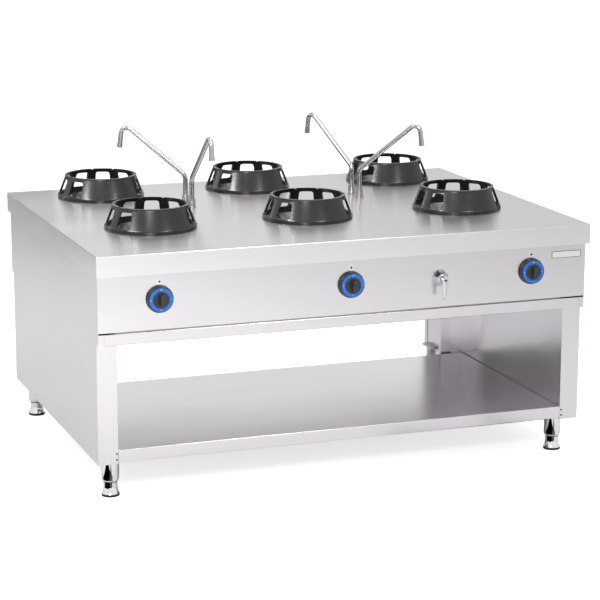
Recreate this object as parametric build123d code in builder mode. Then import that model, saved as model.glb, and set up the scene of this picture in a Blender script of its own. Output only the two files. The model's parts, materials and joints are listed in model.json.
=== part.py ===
from build123d import *
import os
from math import cos, radians, sin

# Six-burner gas wok range with an open base cabinet and swivel water spouts.
# Origin: on the floor, under the centre of the worktop. +X right, +Y back, +Z up.
# The rear control panel is the front one turned half round about Z.

# ---------------------------------------------------------------- whole range
range_width = 1800.0
range_depth = 1320.0
worktop_height = 850.0
base_clearance = 130.0

# ---------------------------------------------------------------- sheet metal
top_sheet = 2.0
panel_sheet = 1.5
flange = 20.0
bend_radius = 2.5
edge_radius = 1.2
fitting_gap = 0.5

# ---------------------------------------------------------------- worktop and panels
skirt_height = 70.0
skirt_corner_radius = 4.0
top_edge_radius = 2.5
body_side_inset = 8.0
panel_setback = 20.0
panel_height = 192.0
shadow_gap = 5.0
rail_height = 38.0
rail_depth = 40.0
rail_corner_radius = 3.0
base_setback = 25.0
stiffener_width = 60.0
stiffener_height = 28.0
stiffener_x = 200.0

# ---------------------------------------------------------------- base cabinet
stile_width = 70.0
stile_return = 30.0
shelf_rise = 48.0
shelf_depth = 855.0
shelf_front_fold = 44.0
shelf_fold = 30.0
shelf_lip = 15.0
shelf_rib_width = 60.0
shelf_rib_height = 25.0
shelf_rib_pitch = 330.0
post_width = 88.0
post_panel = 48.0
post_step = 12.0
post_return = 30.0
tray_edge = 15.0

# ---------------------------------------------------------------- legs and feet
leg_radius = 30.0
leg_wall = 2.0
leg_inset_x = 68.0
leg_inset_y = 120.0
foot_height = 52.0
foot_gap = 0.3
foot_radius = 31.0
foot_waist_radius = 24.0
foot_neck_radius = 28.0
foot_stem_radius = 10.0
foot_engagement = 45.0
leg_plug_depth = 20.0
leg_plate_x = 88.0
leg_plate_y = 88.0
leg_plate_shift = 12.0
leg_plate_thickness = 8.0
leg_stud_radius = 6.0

# ---------------------------------------------------------------- burners
burner_pitch_x = 583.0
burner_pitch_y = 670.0
burner_offset_y = 125.0
burner_hole_radius = 122.0
bowl_depth = 60.0
bowl_floor_radius = 60.0
bowl_mouth_radius = 44.0
bowl_rim_lap = 14.0
head_radius = 55.0
head_rise = 18.0
head_collar_depth = 30.0
head_collar_bore_depth = 20.0
head_waist = 9.0
crown_drop = 6.0
crown_height = 20.0
crown_well = 14.0
crown_width = 25.0
crown_slots = 20
crown_slot_width = 3.0
crown_slot_depth = 8.0
mixing_tube_radius = 17.0
mixing_tube_wall = 4.0
mixing_tube_length = 200.0
mixing_tube_drop = 115.0
shutter_radius = 24.0
shutter_thickness = 5.0
jet_gap = 6.0
jet_length = 12.0
pilot_radius = 4.0
pilot_offset = 78.0
pilot_collar = 3.0
pilot_tip = 1.5
pilot_tip_height = 8.0
pilot_clearance = 2.0
pilot_depth = 4.0

# ---------------------------------------------------------------- wok rings
ring_base_radius = 162.0
ring_rim_radius = 133.0
ring_height = 86.0
ring_lip = 14.0
ring_wall = 8.0
ring_foot_bore = 140.0
window_count = 10
window_low = 17.0
window_high = 72.0
window_bottom_width = 60.0
window_top_width = 50.0
window_corner = 8.0
notch_width = 8.0
notch_depth = 3.0

# ---------------------------------------------------------------- gas knobs and valves
knob_spacing = 680.0
knob_drop = 88.0
knob_gap = 4.0
knob_base_radius = 46.5
knob_depth = 16.0
knob_taper = 15.5
knob_hub_radius = 25.0
knob_hub_rise = 6.0
knob_bar_length = 42.0
knob_bar_width = 18.0
knob_bar_rise = 21.0
knob_hub_edge = 2.0
knob_bar_edge = 3.0
dial_radius = 40.0
dial_thickness = 1.2
spindle_radius = 5.0
spindle_reach = 34.0
spindle_clearance = 2.0
running_gap = 0.05
plunger_length = 11.5
plunger_gap = 0.3
plunger_travel = 3.2
valve_width = 34.0
valve_depth = 46.0
valve_height = 46.0
valve_neck_radius = 11.0
valve_neck = 4.0
outlet_rise = 12.0
outlet_length = 12.0
outlet_radius = 8.0
valve_stub_radius = 7.0
valve_stub_reach = 3.0
valve_corner = 4.0
sight_rise = 59.0
sight_radius = 7.5
sight_sleeve_radius = 6.0
sight_bore_radius = 4.0
sight_rim = 1.0
sight_sleeve = 4.0

# ---------------------------------------------------------------- gas pipework
manifold_radius = 13.45
manifold_bore = 10.5
manifold_drop = 37.5
manifold_overrun = 40.0
manifold_bend = 60.0
inlet_inset_x = 120.0
inlet_inset_y = 220.0
inlet_thread = 35.0
inlet_relief = 1.5
inlet_nut = 5.0
inlet_nut_margin = 6.0
thread_depth = 0.8
gas_thread_radius = 13.22
supply_radius = 5.0
supply_bore = 3.5
supply_bend = 14.0
supply_lead = 46.0
supply_shift = 40.0

# ---------------------------------------------------------------- water spouts and taps
water_column_x = 330.0
spout_centre_y = 160.0
spout_pitch = 80.0
spout_radius = 9.0
spout_bore = 7.5
spout_seat_gap = 1.0
spout_elbow = 106.0
spout_elbow_bend = 30.0
spout_reach = 232.0
spout_rise = 302.0
spout_hook_bend = 22.0
spout_tip_reach = 243.0
spout_tip_height = 208.0
spout_tip_length = 16.0
spout_tip_radius = 10.0
socket_radius = 13.0
socket_height = 33.0
socket_flange_radius = 16.0
socket_flange = 3.0
socket_thread_radius = 11.0
socket_thread = 38.0
socket_seat = 5.0
tap_neck_radius = 12.0
tap_neck = 6.0
tap_body_radius = 15.0
tap_body_length = 50.0
tap_outlet = 28.0
tap_seat = 12.0
spindle_end_gap = 4.0
rosette_radius = 31.0
rosette_depth = 34.0
rosette_rim = 5.0
rosette_crown = 4.0
flute_count = 8
flute_radius = 16.0
flute_offset = 9.0
flute_start = 6.0
lever_spindle_radius = 4.0
lever_hub_radius = 11.0
lever_hub_depth = 19.0
lever_length = 66.0
lever_tip_radius = 3.8
lever_thickness = 9.0
lever_setback = 8.0
lever_play = 0.4
lever_screw_radius = 2.4
lever_screw_depth = 2.0
lever_edge = 1.2
water_pipe_radius = 6.0
water_supply_radius = 7.5
water_thread_radius = 10.48
water_pipe_bend = 20.0
riser_margin = 2.0
water_level = 800.0
water_supply_level = 625.0

# ---------------------------------------------------------------- trim and fasteners
badge_width = 114.0
badge_height = 25.0
badge_thickness = 1.0
badge_corner = 1.5
badge_edge_gap = 18.0
badge_rise = 51.5
screw_radius = 1.5
screw_head_radius = 3.2
screw_head = 1.2
screw_length = 8.0
screw_edge = 6.0
screw_heights = (15.0, 35.0)
socket_nut_radius = 18.0
socket_nut = 8.0

# ---------------------------------------------------------------- derived places
half_width = range_width / 2
half_depth = range_depth / 2
top_under = worktop_height - top_sheet
skirt_bottom = worktop_height - skirt_height
panel_bottom = skirt_bottom - panel_height
rail_top = panel_bottom - shadow_gap
rail_bottom = rail_top - rail_height
body_half = half_width - body_side_inset
body_inner = body_half - panel_sheet
panel_face = half_depth - panel_setback
panel_inner = panel_face - panel_sheet
base_face = panel_face - base_setback
base_inner = base_face - panel_sheet
stile_inner = body_half - stile_width
flange_end = panel_inner - flange
tray_level = panel_bottom + panel_sheet
shelf_top = base_clearance + shelf_rise
plate_level = base_clearance + panel_sheet
shelf_front = -base_face
shelf_back = shelf_front + shelf_depth
knob_z = skirt_bottom - knob_drop
valve_front = panel_inner - valve_neck
valve_back = valve_front - valve_depth
valve_axis = valve_front - valve_depth / 2
outlet_z = knob_z + outlet_rise
manifold_z = knob_z - manifold_drop
bowl_floor = worktop_height - bowl_depth
head_seat = bowl_floor + panel_sheet
head_bottom = head_seat - head_collar_depth
mixing_z = worktop_height - mixing_tube_drop
jet_offset = mixing_tube_length + shutter_thickness + jet_gap + jet_length
leg_x = half_width - leg_inset_x
leg_y = half_depth - leg_inset_y
inlet_x = half_width - inlet_inset_x
inlet_y = half_depth - inlet_inset_y
inlet_nut_bottom = tray_level - fitting_gap - inlet_nut
inlet_bottom = inlet_nut_bottom - inlet_relief - inlet_thread
manifold_reach = knob_spacing + manifold_overrun
badge_u = body_half - badge_edge_gap - badge_width / 2
tap_back = panel_inner - tap_body_length
rows_y = (burner_offset_y - burner_pitch_y / 2, burner_offset_y + burner_pitch_y / 2)
columns_x = (-burner_pitch_x, 0.0, burner_pitch_x)
burner_points = [(x, y) for y in rows_y for x in columns_x]
knob_places = (-knob_spacing, 0.0, knob_spacing)
spout_rows = (spout_centre_y - spout_pitch / 2, spout_centre_y + spout_pitch / 2)
spout_points = [(x, y) for y in spout_rows for x in (-water_column_x, water_column_x)]
leg_points = [(x, y) for x in (-leg_x, leg_x) for y in (-leg_y, leg_y)]
plate_x = leg_x + leg_plate_shift

os.makedirs("parts", exist_ok=True)


def panel_plane(side, u=0.0, z=0.0, out=0.0):
    """Plane on a control panel, facing outwards; side is -1 at the front and 1 at the rear."""
    origin = (-side * u, side * (panel_face + out), z)
    return Plane(origin=origin, x_dir=(-side, 0, 0), z_dir=(0, side, 0))


def upright_plane(x, y, z):
    """Plane through a vertical axis, for profiles drawn as (radius, height)."""
    return Plane(origin=(x, y, z), x_dir=(1, 0, 0), z_dir=(0, -1, 0))


def vertical_axis(x, y):
    """Vertical axis through a point of the plan."""
    return Axis((x, y, 0), (0, 0, 1))


# ================================================================ worktop
# Folded sheet with a skirt all round, six burner holes, four socket holes and two hat stiffeners.
with BuildPart() as countertop:
    with BuildSketch(Plane.XY.offset(skirt_bottom)):
        RectangleRounded(range_width, range_depth, skirt_corner_radius)
    extrude(amount=skirt_height)
    fillet(countertop.faces().sort_by(Axis.Z)[-1].edges(), top_edge_radius)
    with BuildSketch(Plane.XY.offset(skirt_bottom)):
        RectangleRounded(
            range_width - 2 * top_sheet, range_depth - 2 * top_sheet, skirt_corner_radius - top_sheet
        )
    extrude(amount=skirt_height - top_sheet, mode=Mode.SUBTRACT)
    with BuildSketch(Plane.XY.offset(top_under - stiffener_height)):
        with Locations((-stiffener_x, 0), (stiffener_x, 0)):
            Rectangle(stiffener_width, 2 * (flange_end - fitting_gap))
    extrude(amount=stiffener_height)
    with BuildSketch(Plane.XY.offset(top_under - stiffener_height)):
        with Locations((-stiffener_x, 0), (stiffener_x, 0)):
            Rectangle(stiffener_width - 2 * panel_sheet, 2 * flange_end)
    extrude(amount=stiffener_height - panel_sheet, mode=Mode.SUBTRACT)
    with BuildSketch(Plane.XY.offset(top_under)):
        with Locations(*burner_points):
            Circle(burner_hole_radius)
        with Locations(*spout_points):
            Circle(socket_thread_radius + fitting_gap)
    extrude(amount=top_sheet, mode=Mode.SUBTRACT)
countertop.part.label = "countertop"
export_step(countertop.part, "parts/countertop.step")


# ================================================================ side panels
def make_side_panel(name, side):
    """Outer side sheet with its top, bottom and rail-level flanges."""
    face_plane = Plane(origin=(side * body_half, 0, 0), x_dir=(0, side, 0), z_dir=(side, 0, 0))
    corners = [
        (-base_inner, base_clearance),
        (-base_inner, rail_bottom),
        (-panel_inner, rail_bottom),
        (-panel_inner, top_under),
        (panel_inner, top_under),
        (panel_inner, rail_bottom),
        (base_inner, rail_bottom),
        (base_inner, base_clearance),
    ]
    leg_ends = [(side * leg_x, -leg_y), (side * leg_x, leg_y)]
    with BuildPart() as side_panel:
        with BuildSketch(face_plane):
            with BuildLine():
                Polyline(*corners, close=True)
            make_face()
        extrude(amount=-panel_sheet)
        with BuildSketch(Plane.XY.offset(base_clearance)):
            with Locations((side * (body_half - stile_width / 2), 0)):
                Rectangle(stile_width, 2 * base_inner)
        extrude(amount=panel_sheet)
        with BuildSketch(Plane.XY.offset(base_clearance)):
            with Locations(*leg_ends):
                Circle(leg_stud_radius + fitting_gap)
        extrude(amount=panel_sheet, mode=Mode.SUBTRACT)
        with BuildSketch(Plane.XY.offset(top_under - panel_sheet)):
            with Locations((side * (body_half - flange / 2), 0)):
                Rectangle(flange, 2 * (flange_end - fitting_gap))
        extrude(amount=panel_sheet)
        with BuildSketch(Plane.XY.offset(rail_bottom)):
            with Locations(
                (side * (body_half - flange / 2), panel_face - panel_sheet / 2),
                (side * (body_half - flange / 2), panel_sheet / 2 - panel_face),
            ):
                Rectangle(flange, panel_sheet)
        extrude(amount=rail_height)
    side_panel.part.label = name
    export_step(side_panel.part, f"parts/{name}.step")


make_side_panel("side_panel_left", -1)
make_side_panel("side_panel_right", 1)

# ================================================================ inner side liners
# Flat sheets lapped behind the stile returns, which close the side boxes towards the shelf, with a
# notch over each leg plate.
liner_bottom = plate_level + fitting_gap
liner_top = panel_bottom - 2 * fitting_gap
notch_height = leg_plate_thickness + fitting_gap
liner_half_depth = panel_face - rail_depth - panel_sheet
liner_x = stile_inner + 1.5 * panel_sheet
with BuildPart() as inner_side_liners:
    with BuildSketch(Plane.XY.offset(liner_bottom)):
        with Locations((-liner_x, 0), (liner_x, 0)):
            Rectangle(panel_sheet, 2 * liner_half_depth)
    extrude(amount=liner_top - liner_bottom)
    with BuildSketch(Plane.XY.offset(liner_bottom)):
        with Locations(*[(x, y) for x in (-liner_x, liner_x) for y in (-leg_y, leg_y)]):
            Rectangle(2 * panel_sheet, leg_plate_y + 2 * fitting_gap)
    extrude(amount=notch_height, mode=Mode.SUBTRACT)
inner_side_liners.part.label = "inner_side_liners"
export_step(inner_side_liners.part, "parts/inner_side_liners.step")

# ================================================================ corner stiles
# Four folded channels with a face, a deep inner return and a short outer return, and behind the
# shelf two stepped posts that lap the liners.
post_front = shelf_back + fitting_gap
post_lap = stile_inner + panel_sheet
post_inner = post_lap - post_width
with BuildPart() as corner_stiles:
    for side in (-1, 1):
        with BuildSketch(Plane.XY.offset(base_clearance)):
            for sx in (-1, 1):
                with Locations((sx * (body_half - stile_width / 2), side * (base_face - panel_sheet / 2))):
                    Rectangle(stile_width, panel_sheet)
        extrude(amount=rail_bottom - base_clearance)
        with BuildSketch(Plane.XY.offset(plate_level)):
            for sx in (-1, 1):
                return_x = sx * (stile_inner + panel_sheet / 2)
                edge_x = sx * (body_inner - panel_sheet / 2)
                with Locations((return_x, side * (base_face - stile_return / 2))):
                    Rectangle(panel_sheet, stile_return)
                with Locations((edge_x, side * (base_face - flange / 2))):
                    Rectangle(panel_sheet, flange)
        extrude(amount=rail_bottom - plate_level)
        face_edges = corner_stiles.edges().filter_by(Axis.Z).filter_by_position(
            Axis.Y, side * base_face - running_gap, side * base_face + running_gap
        )
        for sx in (-1, 1):
            inner_x = sx * stile_inner
            outer_x = sx * body_half
            fillet(face_edges.filter_by_position(Axis.X, inner_x - 1, inner_x + 1), edge_radius)
            fillet(face_edges.filter_by_position(Axis.X, outer_x - 1, outer_x + 1), edge_radius)
        with BuildSketch(panel_plane(side, 0, base_clearance, -base_setback)):
            for sx in (-1, 1):
                for height in screw_heights:
                    with Locations((sx * (stile_inner + screw_edge), height)):
                        Circle(screw_radius + running_gap)
        extrude(amount=-panel_sheet, mode=Mode.SUBTRACT)
    for sx in (-1, 1):
        post_corners = [
            (sx * post_inner, post_front + post_return),
            (sx * post_inner, post_front + post_step),
            (sx * (post_lap - post_panel), post_front + post_step),
            (sx * (post_lap - post_panel), post_front),
            (sx * post_lap, post_front),
            (sx * post_lap, post_front + post_return),
        ]
        with BuildSketch(Plane.XY.offset(liner_bottom)):
            with BuildLine():
                post_line = Polyline(*post_corners)
                offset(post_line, panel_sheet, side=Side.LEFT if sx > 0 else Side.RIGHT)
            make_face()
        extrude(amount=liner_top - liner_bottom)
corner_stiles.part.label = "corner_stiles"
export_step(corner_stiles.part, "parts/corner_stiles.step")


# ================================================================ control panels
def make_control_panel(name, side):
    """Folded front sheet with holes for three spindles, three sight rings and one tap."""
    with BuildPart() as control_panel:
        with BuildSketch(panel_plane(side)):
            with Locations((0, (panel_bottom + top_under) / 2)):
                Rectangle(2 * body_half, top_under - panel_bottom)
        extrude(amount=-panel_sheet)
        for level in (panel_bottom, top_under - panel_sheet):
            with BuildSketch(Plane.XY.offset(level)):
                with Locations((0, side * (panel_inner - flange / 2))):
                    Rectangle(2 * (body_inner - fitting_gap), flange)
            extrude(amount=panel_sheet)
        bottom_edges = control_panel.faces().sort_by(Axis.Z)[0].edges().filter_by(Axis.X)
        fillet(bottom_edges.sort_by(Axis.Y)[-1 if side > 0 else 0], edge_radius)
        with BuildSketch(panel_plane(side)):
            for u in knob_places:
                with Locations((u, knob_z)):
                    Circle(spindle_radius + spindle_clearance)
                with Locations((u, knob_z + sight_rise)):
                    Circle(sight_sleeve_radius + running_gap)
            with Locations((water_column_x, knob_z)):
                Circle(tap_neck_radius + running_gap)
        extrude(amount=-panel_sheet, mode=Mode.SUBTRACT)
    control_panel.part.label = name
    export_step(control_panel.part, f"parts/{name}.step")


make_control_panel("front_control_panel", -1)
make_control_panel("rear_control_panel", 1)

# ================================================================ cabinet rails
# Two rectangular tubes under the shadow gap, between the side panels' rail flanges.
rail_half_length = body_half - flange - fitting_gap
with BuildPart() as cabinet_rails:
    with BuildSketch(Plane.YZ.offset(-rail_half_length)):
        for side in (-1, 1):
            with Locations((side * (panel_face - rail_depth / 2), rail_bottom + rail_height / 2)):
                RectangleRounded(rail_depth, rail_height, rail_corner_radius)
                RectangleRounded(
                    rail_depth - 2 * panel_sheet,
                    rail_height - 2 * panel_sheet,
                    rail_corner_radius - panel_sheet,
                    mode=Mode.SUBTRACT,
                )
    extrude(amount=2 * rail_half_length)
cabinet_rails.part.label = "cabinet_rails"
export_step(cabinet_rails.part, "parts/cabinet_rails.step")

# ================================================================ burner box floor
# Tray with turned-up edges, resting on the control panels' bottom flanges.
tray_x = body_inner - fitting_gap
tray_y = panel_inner - fitting_gap
with BuildPart() as burner_box_floor:
    with BuildSketch(Plane.XY.offset(tray_level)):
        Rectangle(2 * tray_x, 2 * tray_y)
    extrude(amount=tray_edge)
    with BuildSketch(Plane.XY.offset(tray_level + panel_sheet)):
        Rectangle(2 * (tray_x - panel_sheet), 2 * (tray_y - panel_sheet))
    extrude(amount=tray_edge, mode=Mode.SUBTRACT)
    with BuildSketch(Plane.XY.offset(tray_level)):
        with Locations((inlet_x, inlet_y)):
            Circle(gas_thread_radius + fitting_gap)
        with Locations((-inlet_x, inlet_y)):
            Circle(water_thread_radius + fitting_gap)
    extrude(amount=panel_sheet, mode=Mode.SUBTRACT)
burner_box_floor.part.label = "burner_box_floor"
export_step(burner_box_floor.part, "parts/burner_box_floor.step")

# ================================================================ shelf
# Folded on all four edges and ribbed below; it stops short of the back, where the supplies come in.
shelf_half = stile_inner - fitting_gap
shelf_mid = (shelf_front + shelf_back) / 2
with BuildPart() as shelf:
    with BuildSketch(Plane.XY.offset(shelf_top - shelf_fold)):
        with Locations((0, shelf_mid)):
            Rectangle(2 * shelf_half, shelf_depth)
    extrude(amount=shelf_fold)
    fillet(shelf.faces().sort_by(Axis.Z)[-1].edges(), bend_radius)
    with BuildSketch(Plane.XY.offset(shelf_top - shelf_fold)):
        with Locations((0, shelf_mid)):
            Rectangle(2 * (shelf_half - panel_sheet), shelf_depth - 2 * panel_sheet)
    extrude(amount=shelf_fold - panel_sheet, mode=Mode.SUBTRACT)
    with BuildSketch(Plane.XY.offset(shelf_top - shelf_front_fold)):
        with Locations((0, shelf_front + panel_sheet / 2)):
            Rectangle(2 * shelf_half, panel_sheet)
    extrude(amount=shelf_front_fold - shelf_fold)
    with BuildSketch(Plane.XY.offset(shelf_top - shelf_front_fold)):
        with Locations((0, shelf_front + shelf_lip / 2)):
            Rectangle(2 * shelf_half, shelf_lip)
    extrude(amount=panel_sheet)
    lip_edges = shelf.faces().sort_by(Axis.Z)[0].edges().filter_by(Axis.X)
    fillet(lip_edges.sort_by(Axis.Y)[0], bend_radius)
    rib_places = ((0, shelf_mid - shelf_rib_pitch / 2), (0, shelf_mid + shelf_rib_pitch / 2))
    with BuildSketch(Plane.XY.offset(shelf_top - panel_sheet - shelf_rib_height)):
        with Locations(*rib_places):
            Rectangle(2 * shelf_half, shelf_rib_width)
    extrude(amount=shelf_rib_height)
    with BuildSketch(Plane.XY.offset(shelf_top - 2 * panel_sheet - shelf_rib_height)):
        with Locations(*rib_places):
            Rectangle(2 * (shelf_half - panel_sheet), shelf_rib_width - 2 * panel_sheet)
    extrude(amount=shelf_rib_height, mode=Mode.SUBTRACT)
shelf.part.label = "shelf"
export_step(shelf.part, "parts/shelf.step")

# ================================================================ leg plates
# Thick threaded plates on the side panels' bottom flanges.
with BuildPart() as leg_plates:
    with BuildSketch(Plane.XY.offset(plate_level)):
        with Locations(*[(x, y) for x in (-plate_x, plate_x) for y in (-leg_y, leg_y)]):
            Rectangle(leg_plate_x, leg_plate_y)
        with Locations(*leg_points):
            Circle(leg_stud_radius + running_gap, mode=Mode.SUBTRACT)
    extrude(amount=leg_plate_thickness)
leg_plates.part.label = "leg_plates"
export_step(leg_plates.part, "parts/leg_plates.step")

# ================================================================ legs
# Round tubes closed at the top, with a stud above and a threaded plug in the lower end.
leg_cap = 4.0
with BuildPart() as legs:
    with BuildSketch(Plane.XY.offset(foot_height)):
        with Locations(*leg_points):
            Circle(leg_radius)
    extrude(amount=base_clearance - foot_height)
    with BuildSketch(Plane.XY.offset(foot_height + leg_plug_depth)):
        with Locations(*leg_points):
            Circle(leg_radius - leg_wall)
    extrude(amount=base_clearance - foot_height - leg_plug_depth - leg_cap, mode=Mode.SUBTRACT)
    with BuildSketch(Plane.XY.offset(foot_height)):
        with Locations(*leg_points):
            Circle(foot_stem_radius + running_gap)
    extrude(amount=leg_plug_depth, mode=Mode.SUBTRACT)
    with BuildSketch(Plane.XY.offset(base_clearance)):
        with Locations(*leg_points):
            Circle(leg_stud_radius)
    extrude(amount=panel_sheet + leg_plate_thickness - fitting_gap)
legs.part.label = "legs"
export_step(legs.part, "parts/legs.step")


# ================================================================ adjustable feet
def make_foot(name, x, y):
    """Waisted round foot with the screw stem that levels the range."""
    top = foot_height - foot_gap
    with BuildPart() as foot:
        with BuildSketch(upright_plane(x, y, 0)):
            with BuildLine():
                Polyline((0, 0), (foot_radius - 3, 0), (foot_radius, 3), (foot_radius, 7))
                ThreePointArc(
                    (foot_radius, 7),
                    (foot_waist_radius + 1.6, 0.36 * foot_height),
                    (foot_waist_radius, 0.66 * foot_height),
                )
                Polyline(
                    (foot_waist_radius, 0.66 * foot_height),
                    (foot_neck_radius - 1, top - 4),
                    (foot_neck_radius, top - 3),
                    (foot_neck_radius, top),
                    (foot_stem_radius, top),
                    (foot_stem_radius, foot_height + foot_engagement),
                    (0, foot_height + foot_engagement),
                    (0, 0),
                )
            make_face()
        revolve(axis=vertical_axis(x, y))
    foot.part.label = name
    export_step(foot.part, f"parts/{name}.step")


make_foot("foot_front_left", -leg_x, -leg_y)
make_foot("foot_front_right", leg_x, -leg_y)
make_foot("foot_rear_left", -leg_x, leg_y)
make_foot("foot_rear_right", leg_x, leg_y)


# ================================================================ wok rings
def make_wok_ring(name, x, y):
    """Cast ring: a short upright lip, a cone up to the rim, eight windows and a closed front."""
    rim_round = 2.0
    pitch = 360.0 / window_count
    with BuildPart() as ring:
        with BuildSketch(upright_plane(x, y, worktop_height)):
            with BuildLine():
                Polyline(
                    (ring_foot_bore, 0),
                    (ring_base_radius, 0),
                    (ring_base_radius, ring_lip - 1),
                    (ring_base_radius - 3.5, ring_lip + 1.5),
                    (ring_rim_radius, ring_height - rim_round),
                    (ring_rim_radius - rim_round, ring_height),
                    (ring_rim_radius - ring_wall, ring_height),
                    (ring_rim_radius - ring_wall, ring_height - 3),
                    (ring_base_radius - 3.5 - ring_wall, ring_lip + 1.5),
                    (ring_base_radius - 4 - ring_wall, 6),
                    (ring_foot_bore, 6),
                    close=True,
                )
            make_face()
        revolve(axis=vertical_axis(x, y))
        for index in range(window_count):
            angle = pitch * index
            closed = 250.0 < angle < 290.0
            radial = Plane(
                origin=(x, y, worktop_height),
                x_dir=(-sin(radians(angle)), cos(radians(angle)), 0),
                z_dir=(cos(radians(angle)), sin(radians(angle)), 0),
            )
            if not closed:
                with BuildSketch(radial):
                    with BuildLine():
                        Polyline(
                            (-window_bottom_width / 2, window_low),
                            (window_bottom_width / 2, window_low),
                            (window_top_width / 2, window_high),
                            (-window_top_width / 2, window_high),
                            close=True,
                        )
                    make_face()
                    fillet(vertices(), window_corner)
                extrude(amount=ring_base_radius, mode=Mode.SUBTRACT)
        for index in range(window_count):
            angle = pitch * (index + 0.5)
            if not 230.0 < angle < 310.0:
                radial = Plane(
                    origin=(x, y, worktop_height + ring_height),
                    x_dir=(-sin(radians(angle)), cos(radians(angle)), 0),
                    z_dir=(cos(radians(angle)), sin(radians(angle)), 0),
                )
                with BuildSketch(radial):
                    RectangleRounded(notch_width, 2 * notch_depth, 0.45 * notch_depth)
                extrude(amount=ring_base_radius, mode=Mode.SUBTRACT)
    ring.part.label = name
    export_step(ring.part, f"parts/{name}.step")


for row_name, row_y in zip(("front", "back"), rows_y):
    for column_name, column_x in zip(("left", "middle", "right"), columns_x):
        make_wok_ring(f"wok_ring_{row_name}_{column_name}", column_x, row_y)

# ================================================================ burner bowls
# Conical sheet liners hung in the burner holes by a flat rim, with a seat for the burner head.
bowl_rim = burner_hole_radius + bowl_rim_lap
bowl_throat = burner_hole_radius - 2 * fitting_gap
with BuildPart() as burner_bowls:
    for bx, by in burner_points:
        with BuildSketch(upright_plane(bx, by, 0)):
            with BuildLine():
                Polyline(
                    (bowl_rim, worktop_height),
                    (bowl_rim, worktop_height + panel_sheet),
                    (bowl_throat - panel_sheet, worktop_height + panel_sheet),
                    (bowl_floor_radius, bowl_floor + panel_sheet),
                    (bowl_mouth_radius, bowl_floor + panel_sheet),
                    (bowl_mouth_radius, bowl_floor),
                    (bowl_floor_radius + panel_sheet / 2, bowl_floor),
                    (bowl_throat, worktop_height - panel_sheet),
                    (bowl_throat, worktop_height),
                    close=True,
                )
            make_face()
        revolve(axis=vertical_axis(bx, by))
    with BuildSketch(Plane.XY.offset(bowl_floor - panel_sheet)):
        with Locations(*[(bx, by - pilot_offset) for bx, by in burner_points]):
            Circle(pilot_radius + pilot_clearance)
    extrude(amount=bowl_depth, mode=Mode.SUBTRACT)
burner_bowls.part.label = "burner_bowls"
export_step(burner_bowls.part, "parts/burner_bowls.step")

# ================================================================ burner heads
# Cast heads seated on the bowls: a flange, a waist, a slotted crown ring and a centre cone.
crown_top = worktop_height + head_rise - crown_drop
crown_bottom = crown_top - crown_height
head_collar = bowl_mouth_radius - 4 * fitting_gap
crown_bore = head_radius - crown_width
with BuildPart() as burner_heads:
    for bx, by in burner_points:
        with BuildSketch(upright_plane(bx, by, 0)):
            with BuildLine():
                Polyline(
                    (0, head_bottom),
                    (head_collar, head_bottom),
                    (head_collar, head_seat),
                    (bowl_floor_radius - 3, head_seat),
                    (bowl_floor_radius - 3, head_seat + 5),
                    (head_radius - 6, head_seat + 8),
                    (head_radius - head_waist, crown_bottom - 4),
                    (head_radius, crown_bottom),
                    (head_radius, crown_top - 4),
                    (head_radius - 4, crown_top),
                    (crown_bore, crown_top),
                    (crown_bore - 2, crown_top - crown_well),
                    (18, crown_top - crown_well),
                    (8, worktop_height + head_rise - 1.5),
                    (5, worktop_height + head_rise),
                    (0, worktop_height + head_rise),
                    close=True,
                )
            make_face()
        revolve(axis=vertical_axis(bx, by))
    with BuildSketch(Plane.XY.offset(crown_top - crown_slot_depth)):
        with Locations(*burner_points):
            with PolarLocations(head_radius - 5, crown_slots):
                Rectangle(14, crown_slot_width)
    extrude(amount=crown_slot_depth, mode=Mode.SUBTRACT)
    with BuildSketch(Plane.XY.offset(head_bottom)):
        with Locations(*burner_points):
            Circle(mixing_tube_radius - mixing_tube_wall)
    extrude(amount=head_collar_bore_depth, mode=Mode.SUBTRACT)
burner_heads.part.label = "burner_heads"
export_step(burner_heads.part, "parts/burner_heads.step")

# ================================================================ mixing tubes
# Elbow tubes from the burner heads, open towards the jets, with an air shutter ring.
with BuildPart() as mixing_tubes:
    for bx, by in burner_points:
        with BuildLine() as mixing_path:
            FilletPolyline(
                (bx, by, head_bottom),
                (bx, by, mixing_z),
                (bx, by - mixing_tube_length, mixing_z),
                radius=mixing_tube_radius + mixing_tube_wall,
            )
        with BuildSketch(Plane(origin=(bx, by, head_bottom), z_dir=(0, 0, -1))):
            Circle(mixing_tube_radius)
            Circle(mixing_tube_radius - mixing_tube_wall, mode=Mode.SUBTRACT)
        sweep(path=mixing_path.line)
        with BuildSketch(Plane(origin=(bx, by - mixing_tube_length, mixing_z), z_dir=(0, -1, 0))):
            Circle(shutter_radius)
            Circle(mixing_tube_radius - mixing_tube_wall, mode=Mode.SUBTRACT)
        extrude(amount=shutter_thickness)
mixing_tubes.part.label = "mixing_tubes"
export_step(mixing_tubes.part, "parts/mixing_tubes.step")

# ================================================================ pilot burners
# Thin upright tubes standing on the mixing tubes, through a hole in each bowl.
pilot_base = mixing_z + mixing_tube_radius + 0.1
pilot_top = worktop_height - pilot_depth
pilot_points = [(bx, by - pilot_offset) for bx, by in burner_points]
with BuildPart() as pilot_burners:
    for radius, low, high in (
        (pilot_radius + pilot_collar, pilot_base, pilot_base + pilot_collar),
        (pilot_radius, pilot_base, pilot_top),
        (pilot_radius + pilot_tip, pilot_top - pilot_tip_height, pilot_top),
    ):
        with BuildSketch(Plane.XY.offset(low)):
            with Locations(*pilot_points):
                Circle(radius)
        extrude(amount=high - low)
pilot_burners.part.label = "pilot_burners"
export_step(pilot_burners.part, "parts/pilot_burners.step")

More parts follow.
